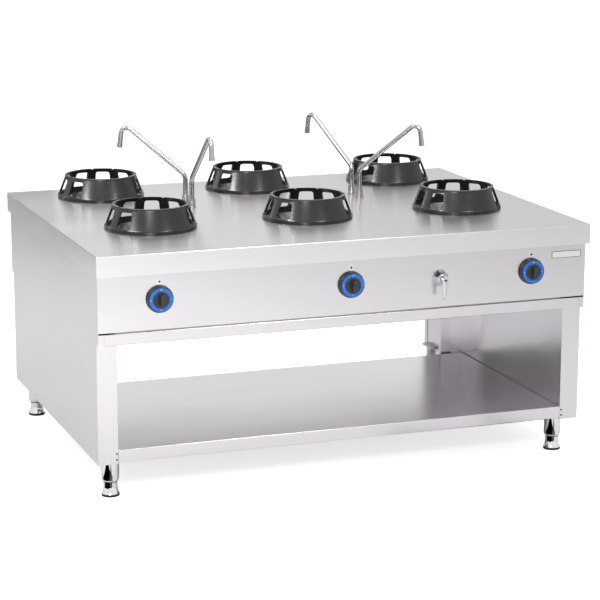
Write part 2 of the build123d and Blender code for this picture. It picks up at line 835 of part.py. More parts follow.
# ================================================================ gas manifold
# Main pipe along both panels, linked on the right; its inlet runs down through the tray to a
# locknut and a threaded end.
valve_points = [(-side * u, side * valve_axis) for side in (-1, 1) for u in knob_places]
pipe_end = 3.0
with BuildPart() as gas_manifold:
    with BuildLine() as manifold_path:
        FilletPolyline(
            (-manifold_reach, -valve_axis, manifold_z),
            (inlet_x, -valve_axis, manifold_z),
            (inlet_x, valve_axis, manifold_z),
            (-manifold_reach, valve_axis, manifold_z),
            radius=manifold_bend,
        )
    with BuildSketch(Plane(origin=(-manifold_reach, -valve_axis, manifold_z), z_dir=(1, 0, 0))):
        Circle(manifold_radius)
        Circle(manifold_bore, mode=Mode.SUBTRACT)
    sweep(path=manifold_path.line)
    for side in (-1, 1):
        with BuildSketch(Plane(origin=(-manifold_reach, side * valve_axis, manifold_z), z_dir=(-1, 0, 0))):
            Circle(manifold_radius)
        extrude(amount=pipe_end)
    with BuildSketch(Plane.XY.offset(inlet_bottom)):
        with Locations((inlet_x, inlet_y)):
            Circle(gas_thread_radius)
    extrude(amount=inlet_thread)
    with BuildSketch(Plane.XY.offset(inlet_bottom)):
        with Locations((inlet_x, inlet_y)):
            Circle(gas_thread_radius - thread_depth)
    extrude(amount=manifold_z - inlet_bottom)
    with BuildSketch(Plane.XY.offset(inlet_nut_bottom)):
        with Locations((inlet_x, inlet_y)):
            RegularPolygon(gas_thread_radius + inlet_nut_margin, 6)
    extrude(amount=inlet_nut)
    with BuildSketch(Plane.XY.offset(inlet_bottom)):
        with Locations((inlet_x, inlet_y)):
            Circle(manifold_bore)
    extrude(amount=manifold_z - inlet_bottom, mode=Mode.SUBTRACT)
    with BuildSketch(Plane.XY.offset(manifold_z)):
        with Locations(*valve_points):
            Circle(valve_stub_radius + running_gap)
    extrude(amount=2 * manifold_radius, mode=Mode.SUBTRACT)
gas_manifold.part.label = "gas_manifold"
export_step(gas_manifold.part, "parts/gas_manifold.step")

# ================================================================ gas valves
# Brass blocks held by their necks to the panels, with a stub into the manifold and an outlet.
valve_bottom = knob_z - valve_height / 2
plunger_bore = spindle_reach - panel_sheet + plunger_gap + plunger_length + plunger_travel + fitting_gap
with BuildPart() as gas_valves:
    with BuildSketch(Plane.XY.offset(valve_bottom)):
        with Locations(*valve_points):
            RectangleRounded(valve_width, valve_depth, valve_corner)
    extrude(amount=valve_height)
    with BuildSketch(Plane.XY.offset(valve_bottom)):
        with Locations(*valve_points):
            Circle(valve_stub_radius)
    extrude(amount=-(valve_bottom - manifold_z - manifold_bore + valve_stub_reach))
    for side in (-1, 1):
        for u in knob_places:
            with BuildSketch(panel_plane(side, u, knob_z, -panel_sheet)):
                Circle(valve_neck_radius)
            extrude(amount=-valve_neck)
            with BuildSketch(panel_plane(side, u, outlet_z, valve_back - panel_face)):
                Circle(outlet_radius)
            extrude(amount=-outlet_length)
            with BuildSketch(panel_plane(side, u, knob_z, -panel_sheet)):
                Circle(spindle_radius + running_gap)
            extrude(amount=-plunger_bore, mode=Mode.SUBTRACT)
gas_valves.part.label = "gas_valves"
export_step(gas_valves.part, "parts/gas_valves.step")

# ================================================================ gas supply tubes
# Thin tubes from each valve's outlet to the jet that faces its mixing tube.
tube_start = valve_back - outlet_length
front_y = rows_y[0] - jet_offset
rear_y = rows_y[1] - jet_offset
with BuildPart() as gas_supply_tubes:
    for u, column_x in zip(knob_places, columns_x):
        front_points = [
            (u, -tube_start, outlet_z),
            (u, -tube_start + supply_lead, outlet_z),
            (column_x, -tube_start + supply_lead + supply_shift, mixing_z),
            (column_x, front_y, mixing_z),
        ]
        rear_points = [
            (u, tube_start, outlet_z),
            (u, rear_y - supply_lead, outlet_z),
            (column_x, rear_y - supply_lead, mixing_z),
            (column_x, rear_y, mixing_z),
        ]
        for side, points in ((-1, front_points), (1, rear_points)):
            with BuildLine() as supply_path:
                FilletPolyline(*points, radius=supply_bend)
            with BuildSketch(Plane(origin=points[0], z_dir=(0, -side, 0))):
                Circle(supply_radius)
                Circle(supply_bore, mode=Mode.SUBTRACT)
            sweep(path=supply_path.line)
            with BuildSketch(Plane(origin=points[-1], z_dir=(0, 1, 0))):
                RegularPolygon(outlet_radius + 1, 6)
                Circle(supply_bore / 2, mode=Mode.SUBTRACT)
            extrude(amount=jet_length)
gas_supply_tubes.part.label = "gas_supply_tubes"
export_step(gas_supply_tubes.part, "parts/gas_supply_tubes.step")


# ================================================================ gas knobs
def make_gas_knob(name, side, u):
    """Tapered knob with a round hub, a grip bar and its spindle; the dial lies in its face."""
    face = knob_gap + knob_depth
    with BuildPart() as knob:
        with BuildSketch(panel_plane(side, u, knob_z, knob_gap)):
            Circle(knob_base_radius)
        extrude(amount=knob_depth, taper=knob_taper)
        with BuildSketch(panel_plane(side, u, knob_z, face - dial_thickness)):
            Circle(dial_radius + running_gap)
            Circle(knob_hub_radius, mode=Mode.SUBTRACT)
        extrude(amount=dial_thickness, mode=Mode.SUBTRACT)
        with BuildSketch(panel_plane(side, u, knob_z, face)):
            Circle(knob_hub_radius)
        extrude(amount=knob_hub_rise)
        fillet(knob.faces().sort_by(Axis.Y)[-1 if side > 0 else 0].edges(), knob_hub_edge)
        with BuildSketch(panel_plane(side, u, knob_z, face + knob_hub_rise)):
            SlotOverall(knob_bar_length, knob_bar_width, rotation=90)
        extrude(amount=knob_bar_rise)
        fillet(knob.faces().sort_by(Axis.Y)[-1 if side > 0 else 0].edges(), knob_bar_edge)
        with BuildSketch(panel_plane(side, u, knob_z, -spindle_reach)):
            Circle(spindle_radius)
        extrude(amount=spindle_reach + knob_gap + knob_depth / 2)
    knob.part.label = name
    export_step(knob.part, f"parts/{name}.step")


def make_knob_dial(name, side, u):
    """Thin coloured ring let into the knob's face."""
    with BuildPart() as dial:
        with BuildSketch(panel_plane(side, u, knob_z, knob_gap + knob_depth - dial_thickness)):
            Circle(dial_radius)
            Circle(knob_hub_radius + running_gap, mode=Mode.SUBTRACT)
        extrude(amount=dial_thickness)
    dial.part.label = name
    export_step(dial.part, f"parts/{name}.step")


def make_valve_plunger(name, side, u):
    """Pin behind the spindle, which opens the safety valve while the knob is held in."""
    with BuildPart() as plunger:
        with BuildSketch(panel_plane(side, u, knob_z, -spindle_reach - plunger_gap)):
            Circle(spindle_radius)
        extrude(amount=-plunger_length)
    plunger.part.label = name
    export_step(plunger.part, f"parts/{name}.step")


for side, side_name in ((-1, "front"), (1, "rear")):
    for u, place in zip(knob_places, ("left", "middle", "right")):
        make_gas_knob(f"gas_knob_{side_name}_{place}", side, u)
        make_knob_dial(f"knob_dial_{side_name}_{place}", side, u)
        make_valve_plunger(f"valve_plunger_{side_name}_{place}", side, u)

# ================================================================ sight hole rings
# Small grommets above the knobs, through which the pilot flame is seen.
with BuildPart() as sight_hole_rings:
    for side in (-1, 1):
        for u in knob_places:
            with BuildSketch(panel_plane(side, u, knob_z + sight_rise)):
                Circle(sight_radius)
            extrude(amount=sight_rim)
            with BuildSketch(panel_plane(side, u, knob_z + sight_rise)):
                Circle(sight_sleeve_radius)
            extrude(amount=-sight_sleeve)
            with BuildSketch(panel_plane(side, u, knob_z + sight_rise, sight_rim)):
                Circle(sight_bore_radius)
            extrude(amount=-(sight_rim + sight_sleeve), mode=Mode.SUBTRACT)
sight_hole_rings.part.label = "sight_hole_rings"
export_step(sight_hole_rings.part, "parts/sight_hole_rings.step")


# ================================================================ spouts
def make_spout(name, x, y, swing):
    """Swivel tube: upright stem, sloping arm and a hooked end; swing is its compass angle from +X."""
    along = (cos(radians(swing)), sin(radians(swing)), 0)
    side_on = Plane(origin=(x, y, worktop_height), x_dir=along, z_dir=(along[1], -along[0], 0))
    stem_bottom = -socket_seat + spout_seat_gap
    with BuildPart() as spout:
        with BuildLine(side_on) as spout_path:
            FilletPolyline(
                (0, stem_bottom),
                (0, spout_elbow),
                (spout_reach, spout_rise),
                (spout_tip_reach, spout_tip_height),
                radius=[spout_elbow_bend, spout_hook_bend],
            )
        with BuildSketch(Plane(origin=(x, y, worktop_height + stem_bottom), z_dir=(0, 0, 1))):
            Circle(spout_radius)
            Circle(spout_bore, mode=Mode.SUBTRACT)
        sweep(path=spout_path.line)
        tip = spout_path.line @ 1
        tip_direction = spout_path.line % 1
        with BuildSketch(Plane(origin=tip, z_dir=tip_direction)):
            Circle(spout_tip_radius)
            Circle(spout_bore, mode=Mode.SUBTRACT)
        extrude(amount=-spout_tip_length)
    spout.part.label = name
    export_step(spout.part, f"parts/{name}.step")


spout_front_y, spout_back_y = spout_rows
make_spout("spout_back_left", -water_column_x, spout_back_y, 156.0)
make_spout("spout_front_left", -water_column_x, spout_front_y, 270.0)
make_spout("spout_back_right", water_column_x, spout_back_y, 114.0)
make_spout("spout_front_right", water_column_x, spout_front_y, 320.0)

# ================================================================ spout sockets
# Turned sockets through the worktop: a collar with the stem's bore above, a threaded tail below.
with BuildPart() as spout_sockets:
    for radius, low, high in (
        (socket_flange_radius, worktop_height, worktop_height + socket_flange),
        (socket_radius, worktop_height, worktop_height + socket_height),
        (socket_thread_radius, worktop_height - socket_thread, worktop_height),
    ):
        with BuildSketch(Plane.XY.offset(low)):
            with Locations(*spout_points):
                Circle(radius)
        extrude(amount=high - low)
    with BuildSketch(Plane.XY.offset(worktop_height - socket_seat)):
        with Locations(*spout_points):
            Circle(spout_radius + running_gap)
    extrude(amount=socket_seat + socket_height, mode=Mode.SUBTRACT)
    with BuildSketch(Plane.XY.offset(worktop_height - socket_thread)):
        with Locations(*spout_points):
            Circle(water_pipe_radius)
    extrude(amount=socket_thread, mode=Mode.SUBTRACT)
spout_sockets.part.label = "spout_sockets"
export_step(spout_sockets.part, "parts/spout_sockets.step")

# ================================================================ tap bodies
# Brass quarter-turn bodies behind the panels, with a neck through and an outlet on top.
outlet_y = tap_back + 2 * outlet_radius
with BuildPart() as tap_bodies:
    for side in (-1, 1):
        with BuildSketch(panel_plane(side, water_column_x, knob_z, -panel_sheet)):
            Circle(tap_body_radius)
        extrude(amount=-tap_body_length)
        with BuildSketch(panel_plane(side, water_column_x, knob_z, -panel_sheet)):
            Circle(tap_neck_radius)
        extrude(amount=panel_sheet + tap_neck)
        with BuildSketch(Plane.XY.offset(knob_z)):
            with Locations((-side * water_column_x, side * outlet_y)):
                Circle(outlet_radius)
        extrude(amount=tap_outlet)
        with BuildSketch(panel_plane(side, water_column_x, knob_z, tap_neck)):
            Circle(lever_spindle_radius + running_gap)
        extrude(amount=-(tap_neck + tap_body_length - tap_seat), mode=Mode.SUBTRACT)
tap_bodies.part.label = "tap_bodies"
export_step(tap_bodies.part, "parts/tap_bodies.step")

# ================================================================ tap rosettes
# Fluted chromed covers over the tap necks.
flute_reach = rosette_radius + flute_offset
with BuildPart() as tap_rosettes:
    for side in (-1, 1):
        panel_axis = Axis((-side * water_column_x, 0, knob_z), (0, side, 0))
        across = Plane(
            origin=(-side * water_column_x, side * panel_face, knob_z), x_dir=(1, 0, 0), z_dir=(0, 0, side)
        )
        with BuildSketch(across):
            with BuildLine():
                Polyline((0, 0), (rosette_radius, 0), (rosette_radius, rosette_rim))
                ThreePointArc(
                    (rosette_radius, rosette_rim),
                    (0.72 * rosette_radius, 0.48 * rosette_depth),
                    (0.55 * rosette_radius, rosette_depth - rosette_crown),
                )
                Polyline(
                    (0.55 * rosette_radius, rosette_depth - rosette_crown),
                    (0.42 * rosette_radius, rosette_depth),
                    (0, rosette_depth),
                    (0, 0),
                )
            make_face()
        revolve(axis=panel_axis)
        with BuildSketch(panel_plane(side, water_column_x, knob_z, flute_start)):
            with PolarLocations(flute_reach, flute_count):
                Circle(flute_radius)
        extrude(amount=rosette_depth, mode=Mode.SUBTRACT)
        with BuildSketch(panel_plane(side, water_column_x, knob_z)):
            Circle(tap_neck_radius + running_gap)
        extrude(amount=tap_neck + fitting_gap, mode=Mode.SUBTRACT)
        with BuildSketch(panel_plane(side, water_column_x, knob_z)):
            Circle(lever_spindle_radius + fitting_gap)
        extrude(amount=rosette_depth, mode=Mode.SUBTRACT)
tap_rosettes.part.label = "tap_rosettes"
export_step(tap_rosettes.part, "parts/tap_rosettes.step")


# ================================================================ tap levers
def make_tap_lever(name, side):
    """Lever that hangs straight down when shut, with its hub and spindle."""
    hub_start = rosette_depth + lever_play
    with BuildPart() as lever:
        with BuildSketch(panel_plane(side, water_column_x, knob_z, hub_start)):
            Circle(lever_hub_radius)
        extrude(amount=lever_hub_depth)
        with BuildSketch(panel_plane(side, water_column_x, knob_z, hub_start + lever_setback)):
            Circle(lever_hub_radius - 0.5)
            with Locations((0, -lever_length)):
                Circle(lever_tip_radius)
            make_hull()
        extrude(amount=lever_thickness)
        outer_face = lever.faces().sort_by(Axis.Y)[-1 if side > 0 else 0]
        fillet(outer_face.edges(), lever_edge)
        with BuildSketch(panel_plane(side, water_column_x, knob_z, hub_start + lever_hub_depth)):
            Circle(lever_screw_radius)
        extrude(amount=-lever_screw_depth, mode=Mode.SUBTRACT)
        with BuildSketch(panel_plane(side, water_column_x, knob_z, hub_start)):
            Circle(lever_spindle_radius)
        extrude(amount=-(hub_start + tap_body_length - tap_seat - spindle_end_gap))
    lever.part.label = name
    export_step(lever.part, f"parts/{name}.step")


make_tap_lever("tap_lever_front", -1)
make_tap_lever("tap_lever_rear", 1)

# ================================================================ water pipes
# One supply from the inlet to both taps, and from each tap a riser and a cross pipe to its two spouts.
socket_bottom = worktop_height - socket_thread
tap_outlet_top = knob_z + tap_outlet
inlet_sleeve = 12.0
with BuildPart() as water_pipes:
    supply_runs = (
        [
            (-inlet_x, inlet_y, tray_level),
            (-inlet_x, inlet_y, water_supply_level),
            (-inlet_x, -inlet_y, water_supply_level),
            (water_column_x, -inlet_y, water_supply_level),
            (water_column_x, -inlet_y, knob_z),
            (water_column_x, -tap_back, knob_z),
        ],
        [
            (-inlet_x, inlet_y, water_supply_level),
            (-water_column_x, inlet_y, water_supply_level),
            (-water_column_x, inlet_y, knob_z),
            (-water_column_x, tap_back, knob_z),
        ],
    )
    for run, start_direction in zip(supply_runs, ((0, 0, 1), (1, 0, 0))):
        with BuildLine() as supply_line:
            FilletPolyline(*run, radius=water_pipe_bend)
        with BuildSketch(Plane(origin=run[0], z_dir=start_direction)):
            Circle(water_supply_radius)
        sweep(path=supply_line.line)
    for side, row_y in ((-1, spout_rows[0]), (1, spout_rows[1])):
        riser_x = -side * water_column_x
        with BuildLine() as riser_line:
            FilletPolyline(
                (riser_x, side * outlet_y, tap_outlet_top),
                (riser_x, side * outlet_y, water_level),
                (riser_x, row_y, water_level),
                radius=water_pipe_bend,
            )
        with BuildSketch(Plane(origin=(riser_x, side * outlet_y, tap_outlet_top), z_dir=(0, 0, 1))):
            Circle(water_pipe_radius)
        sweep(path=riser_line.line)
        with BuildSketch(Plane.YZ.offset(-water_column_x)):
            with Locations((row_y, water_level)):
                Circle(water_pipe_radius)
        extrude(amount=2 * water_column_x)
        with BuildSketch(Plane.XY.offset(water_level - water_pipe_radius)):
            with Locations((-water_column_x, row_y), (water_column_x, row_y)):
                Circle(water_pipe_radius + riser_margin)
        extrude(amount=socket_bottom - water_level + water_pipe_radius)
    with BuildSketch(Plane.XY.offset(inlet_bottom)):
        with Locations((-inlet_x, inlet_y)):
            Circle(water_thread_radius)
    extrude(amount=inlet_thread)
    with BuildSketch(Plane.XY.offset(inlet_bottom)):
        with Locations((-inlet_x, inlet_y)):
            Circle(water_thread_radius - thread_depth)
    extrude(amount=tray_level + inlet_sleeve - inlet_bottom)
    with BuildSketch(Plane.XY.offset(inlet_nut_bottom)):
        with Locations((-inlet_x, inlet_y)):
            RegularPolygon(water_thread_radius + inlet_nut_margin, 6)
    extrude(amount=inlet_nut)
    with BuildSketch(Plane.XY.offset(inlet_bottom)):
        with Locations((-inlet_x, inlet_y)):
            Circle(water_pipe_radius)
    extrude(amount=tray_level - inlet_bottom, mode=Mode.SUBTRACT)
water_pipes.part.label = "water_pipes"
export_step(water_pipes.part, "parts/water_pipes.step")

# ================================================================ badge plate
# Bare plate near the front panel's top right corner.
with BuildPart() as badge_plate:
    with BuildSketch(panel_plane(-1, badge_u, knob_z + badge_rise)):
        RectangleRounded(badge_width, badge_height, badge_corner)
    extrude(amount=badge_thickness)
badge_plate.part.label = "badge_plate"
export_step(badge_plate.part, "parts/badge_plate.step")

# ================================================================ fasteners
# Two screws low on each stile, and the lock nuts that hold the sockets under the worktop.
with BuildPart() as fasteners:
    for side in (-1, 1):
        for sx in (-1, 1):
            for height in screw_heights:
                seat = (sx * (stile_inner + screw_edge), side * base_face, base_clearance + height)
                with BuildSketch(Plane(origin=seat, z_dir=(0, side, 0))):
                    Circle(screw_head_radius)
                extrude(amount=screw_head)
                with BuildSketch(Plane(origin=seat, z_dir=(0, side, 0))):
                    Circle(screw_radius)
                extrude(amount=-screw_length)
    with BuildSketch(Plane.XY.offset(top_under - socket_nut)):
        with Locations(*spout_points):
            RegularPolygon(socket_nut_radius, 6)
            Circle(socket_thread_radius + running_gap, mode=Mode.SUBTRACT)
    extrude(amount=socket_nut)
fasteners.part.label = "fasteners"
export_step(fasteners.part, "parts/fasteners.step")
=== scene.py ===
import json
from math import cos, pi, radians, sin

import bmesh
import bpy
from mathutils import Matrix, Quaternion, Vector


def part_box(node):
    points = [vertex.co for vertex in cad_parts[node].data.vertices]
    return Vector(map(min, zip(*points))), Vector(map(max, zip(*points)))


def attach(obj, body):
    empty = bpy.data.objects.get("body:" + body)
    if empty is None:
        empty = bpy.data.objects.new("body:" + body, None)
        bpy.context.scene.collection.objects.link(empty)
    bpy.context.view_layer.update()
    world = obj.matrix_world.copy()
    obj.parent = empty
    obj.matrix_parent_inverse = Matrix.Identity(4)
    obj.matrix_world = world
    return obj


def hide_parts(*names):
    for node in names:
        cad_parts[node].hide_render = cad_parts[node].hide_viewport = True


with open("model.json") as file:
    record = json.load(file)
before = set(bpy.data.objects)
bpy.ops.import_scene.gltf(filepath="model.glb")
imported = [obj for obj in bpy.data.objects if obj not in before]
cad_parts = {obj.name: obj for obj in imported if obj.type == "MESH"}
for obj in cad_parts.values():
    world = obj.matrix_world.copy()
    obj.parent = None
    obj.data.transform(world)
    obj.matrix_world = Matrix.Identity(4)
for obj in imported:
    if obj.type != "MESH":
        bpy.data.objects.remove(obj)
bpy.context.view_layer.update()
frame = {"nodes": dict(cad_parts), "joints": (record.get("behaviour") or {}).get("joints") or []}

bl_info = {
    "name": "Wok range dressing",
    "version": (1, 0, 0),
    "blender": (4, 5, 0),
    "location": "View3D > Sidebar > Wok range",
    "description": "Dresses a six-burner wok range in sheet metal, castings, plastic and chrome",
    "category": "Object",
}

MM = 0.001
NODES = frame["nodes"]
SIDES = ("front", "rear")
ROWS = ("front", "back")
HANDS = ("left", "right")
COLUMNS = ("left", "middle", "right")
BURNERS = [f"{row}_{column}" for row in ROWS for column in COLUMNS]


# ---------------------------------------------------------------- places read from the frame
def node_centre(name):
    """Middle of a CAD node's box, in metres."""
    low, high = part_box(name)
    return (low + high) / 2


def top_of(name):
    """Height of a CAD node's highest point."""
    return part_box(name)[1].z


def standing(name, height):
    """Placement over the middle of a CAD node, at a height in metres."""
    centre = node_centre(name)
    return Matrix.Translation((centre.x, centre.y, height))


def joint_place(name):
    """Pivot of a hinge, in metres."""
    for joint in frame["joints"]:
        if joint["name"] == name:
            return Vector(joint["pos_m"])
    raise ValueError(f"no joint named {name}")


WORKTOP = top_of("countertop")


# ---------------------------------------------------------------- modelling tools
def fresh_start():
    """Leaves edit mode and deselects everything, so that the next tool acts on new pieces alone."""
    if bpy.context.mode != "OBJECT":
        bpy.ops.object.mode_set(mode="OBJECT")
    bpy.ops.object.select_all(action="DESELECT")


def take(piece):
    """Makes one piece the only selected one and the active one."""
    fresh_start()
    piece.select_set(True)
    bpy.context.view_layer.objects.active = piece


def pick(piece, kind, test):
    """Selects, in edit mode, the vertices, edges or faces that pass the test."""
    bpy.ops.mesh.select_mode(type=kind)
    bpy.ops.mesh.select_all(action="DESELECT")
    mesh = bmesh.from_edit_mesh(piece.data)
    for part in {"VERT": mesh.verts, "EDGE": mesh.edges, "FACE": mesh.faces}[kind]:
        part.select_set(test(part))
    bmesh.update_edit_mesh(piece.data)


def turned(name, profile, steps=64, looped=False):
    """Piece turned about Z: a circle, extruded and resized from each (radius, height) to the next.

    A first radius of 0 fills the first circle, and a last one closes its end in a pole. A looped
    profile joins its last circle to its first."""
    fresh_start()
    points = [(radius * MM, height * MM) for radius, height in profile]
    closed_start = points[0][0] == 0
    if closed_start:
        points = points[1:]
    start_radius, start_height = points[0]
    bpy.ops.mesh.primitive_circle_add(
        vertices=steps,
        radius=start_radius,
        fill_type="NGON" if closed_start else "NOTHING",
        location=(0, 0, start_height),
    )
    piece = bpy.context.object
    piece.name = name
    bpy.ops.object.mode_set(mode="EDIT")
    pick(piece, "EDGE", lambda edge: True)
    for (radius, height), (next_radius, next_height) in zip(points, points[1:]):
        step = {"value": (0, 0, next_height - height)}
        bpy.ops.mesh.extrude_edges_move(TRANSFORM_OT_translate=step)
        if next_radius == 0:
            bpy.ops.mesh.merge(type="CENTER")
        else:
            scale = next_radius / radius
            bpy.ops.transform.resize(value=(scale, scale, 1))
    if looped:
        bpy.ops.mesh.select_all(action="SELECT")
        bpy.ops.mesh.remove_doubles(threshold=0.02 * MM)
    bpy.ops.mesh.select_all(action="SELECT")
    bpy.ops.mesh.normals_make_consistent(inside=False)
    bpy.ops.object.mode_set(mode="OBJECT")
    return piece


def block(name, size, location):
    """Box of a size in millimetres, ready to be shaped in edit mode."""
    fresh_start()
    bpy.ops.mesh.primitive_cube_add(size=1, location=[value * MM for value in location])
    piece = bpy.context.object
    piece.name = name
    piece.scale = [value * MM for value in size]
    settle(piece)
    return piece


def settle(piece):
    """Puts the piece's place, turn and scale into its mesh."""
    take(piece)
    bpy.ops.object.transform_apply(location=True, rotation=True, scale=True)


def round_edges(piece, axis, radius, segments, least=0.9):
    """Rounds, by a radius in millimetres, the edges that run along an axis; least is how closely."""
    def runs_along(edge):
        way = (edge.verts[0].co - edge.verts[1].co).normalized()
        return abs(way["XYZ".index(axis)]) > least

    take(piece)
    bpy.ops.object.mode_set(mode="EDIT")
    pick(piece, "EDGE", runs_along)
    bpy.ops.mesh.bevel(offset=radius * MM, segments=segments)
    bpy.ops.object.mode_set(mode="OBJECT")


def taper(piece, factor_x, factor_y):
    """Draws a piece's flat top in by a factor each way."""
    take(piece)
    bpy.ops.object.mode_set(mode="EDIT")
    pick(piece, "FACE", lambda face: face.normal.z > 0.9)
    bpy.ops.transform.resize(value=(factor_x, factor_y, 1))
    bpy.ops.object.mode_set(mode="OBJECT")


def modify(piece, kind, **settings):
    """Adds a modifier with its settings and applies it."""
    take(piece)
    modifier = piece.modifiers.new(kind.title(), kind)
    for key, value in settings.items():
        setattr(modifier, key, value)
    bpy.ops.object.modifier_apply(modifier=modifier.name)


def soften(piece, width, angle, segments=2):
    """Rounds the piece's edges that are sharper than the angle, and smooths what is round."""
    modify(
        piece,
        "BEVEL",
        width=width * MM,
        segments=segments,
        limit_method="ANGLE",
        angle_limit=radians(angle),
        use_clamp_overlap=True,
    )
    smooth(piece, angle + 10)
    modify(piece, "WEIGHTED_NORMAL", keep_sharp=True)


def smooth(piece, angle=35):
    """Smooth shading across all edges flatter than the angle."""
    take(piece)
    bpy.ops.object.shade_smooth_by_angle(angle=radians(angle))


def copied(piece, name, placement):
    """Copy of a piece with its own mesh, put in its place."""
    fresh_start()
    twin = piece.copy()
    twin.data = piece.data.copy()
    twin.name = name
    bpy.context.scene.collection.objects.link(twin)
    twin.matrix_world = placement @ piece.matrix_world
    settle(twin)
    return twin


def join(pieces, name):
    """Joins several meshes into the first."""
    fresh_start()
    for piece in pieces:
        piece.select_set(True)
    bpy.context.view_layer.objects.active = pieces[0]
    bpy.ops.object.join()
    pieces[0].name = name
    return pieces[0]


def round_copies(cutter, turns):
    """Copies of a cutter, turned about Z by each angle in radians, joined as one."""
    pieces = [
        copied(cutter, f"{cutter.name}_{index}", Matrix.Rotation(turn, 4, "Z"))
        for index, turn in enumerate(turns)
    ]
    discard(cutter)
    return join(pieces, "cutters")


def cut(piece, cutter):
    """Cuts one mesh out of another and deletes the cutter."""
    modify(piece, "BOOLEAN", operation="DIFFERENCE", solver="EXACT", object=cutter)
    discard(cutter)


def discard(piece):
    """Deletes a pattern piece or cutter that has served."""
    bpy.data.objects.remove(piece)


def dress(piece, material, body=None, instead_of=()):
    """Gives a piece its material and, for a new one, its body, and hides the nodes that it stands for."""
    piece.data.materials.clear()
    piece.data.materials.append(material)
    if body:
        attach(piece, body)
    if instead_of:
        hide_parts(*instead_of)


def facing(side):
    """Turns a piece modelled upwards so that it stands out of the front or rear panel."""
    quarter = Matrix.Rotation(pi / 2, 4, "X")
    return (Matrix.Rotation(pi, 4, "Z") if side == "rear" else Matrix.Identity(4)) @ quarter


# ---------------------------------------------------------------- material tools
def linear(hex_colour):
    """Linear colour of an sRGB hex value."""
    values = [int(hex_colour[i:i + 2], 16) / 255 for i in (1, 3, 5)]
    curve = [value / 12.92 if value <= 0.04045 else ((value + 0.055) / 1.055) ** 2.4 for value in values]
    return (*curve, 1.0)


# Sockets of the Mix node when it mixes colours.
MIX_FACTOR, MIX_FIRST, MIX_SECOND, MIX_RESULT = 0, 6, 7, 2


def add(tree, kind, settings=None, links=None):
    """Adds a node; settings are its properties or socket values, links name what feeds each socket."""
    node = tree.nodes.new(kind)
    for key, value in (settings or {}).items():
        if isinstance(key, str) and hasattr(node, key):
            setattr(node, key, value)
        else:
            node.inputs[key].default_value = value
    for socket, source in (links or {}).items():
        tree.links.new(source, node.inputs[socket])
    return node


def material(name):
    """Empty node material with its shader and Object coordinates."""
    made = bpy.data.materials.new(name)
    made.use_nodes = True
    tree = made.node_tree
    tree.nodes.clear()
    shader = add(tree, "ShaderNodeBsdfPrincipled")
    add(tree, "ShaderNodeOutputMaterial", links={"Surface": shader.outputs["BSDF"]})
    place = add(tree, "ShaderNodeTexCoord").outputs["Object"]
    return made, tree, shader, place


def grain(tree, place, width, length, axis, detail=4.0):
    """Streaks of a width and length in millimetres along one axis."""
    scale = [1 / (width * MM)] * 3
    scale["XYZ".index(axis)] = 1 / (length * MM)
    stretched = add(tree, "ShaderNodeMapping", {"Scale": scale}, {"Vector": place})
    return add(
        tree,
        "ShaderNodeTexNoise",
        {"Scale": 1.0, "Detail": detail, "Roughness": 0.6},
        {"Vector": stretched.outputs["Vector"]},
    ).outputs["Fac"]


def span(tree, source, low, high, from_low=0.3, from_high=0.7):
    """Maps a pattern's middle range to two values."""
    return add(
        tree,
        "ShaderNodeMapRange",
        {"From Min": from_low, "From Max": from_high, "To Min": low, "To Max": high},
        {"Value": source},
    ).outputs["Result"]


def blend_colours(tree, source, first, second):
    """Mixes two hex colours by a pattern."""
    return add(
        tree,
        "ShaderNodeMix",
        {"data_type": "RGBA", MIX_FIRST: linear(first), MIX_SECOND: linear(second)},
        {MIX_FACTOR: source},
    ).outputs[MIX_RESULT]


def coat(tree, shader, colour, roughness, metallic=0.0, specular=0.5):
    """Gives the shader its colour and roughness patterns, its metal and its strength of reflection."""
    tree.links.new(colour, shader.inputs["Base Color"])
    tree.links.new(roughness, shader.inputs["Roughness"])
    shader.inputs["Metallic"].default_value = metallic
    shader.inputs["Specular IOR Level"].default_value = specular


def relief(tree, shader, height, strength, distance):
    """Feeds a pattern to the shader as a bump of a height in millimetres."""
    bump = add(
        tree, "ShaderNodeBump", {"Strength": strength, "Distance": distance * MM}, {"Height": height}
    )
    tree.links.new(bump.outputs["Normal"], shader.inputs["Normal"])


def seen(tree, unseen, value, kinds):
    """One value for the kinds of ray named, such as what the camera sees, and another for all the rest."""
    path = add(tree, "ShaderNodeLightPath")
    level = path.outputs[kinds[0]]
    for kind in kinds[1:]:
        level = add(
            tree, "ShaderNodeMath", {"operation": "MAXIMUM"}, {0: level, 1: path.outputs[kind]}
        ).outputs["Value"]
    return span(tree, level, unseen, value, 0, 1)


def belt_marks(tree, place, axis):
    """Fine streaks and broad clouds of sheet ground with a belt along one axis.

    The real streaks are 0.1 mm wide; they are drawn 2 mm wide, so that they show at all."""
    streaks = grain(tree, place, 2.0, 340, axis)
    clouds = grain(tree, place, 260, 600, axis, detail=2.0)
    return streaks, clouds


def brushed_stainless(name, axis):
    """Stainless sheet, ground with a fine belt: a satin mirror, duller in some places than in others."""
    made, tree, shader, place = material(name)
    streaks, clouds = belt_marks(tree, place, axis)
    colour = blend_colours(tree, span(tree, streaks, 0, 1), "#d6d3d6", "#d1ced1")
    coat(tree, shader, colour, span(tree, clouds, 0.2, 0.24), metallic=1.0)
    relief(tree, shader, streaks, 0.05, 0.15)
    return made


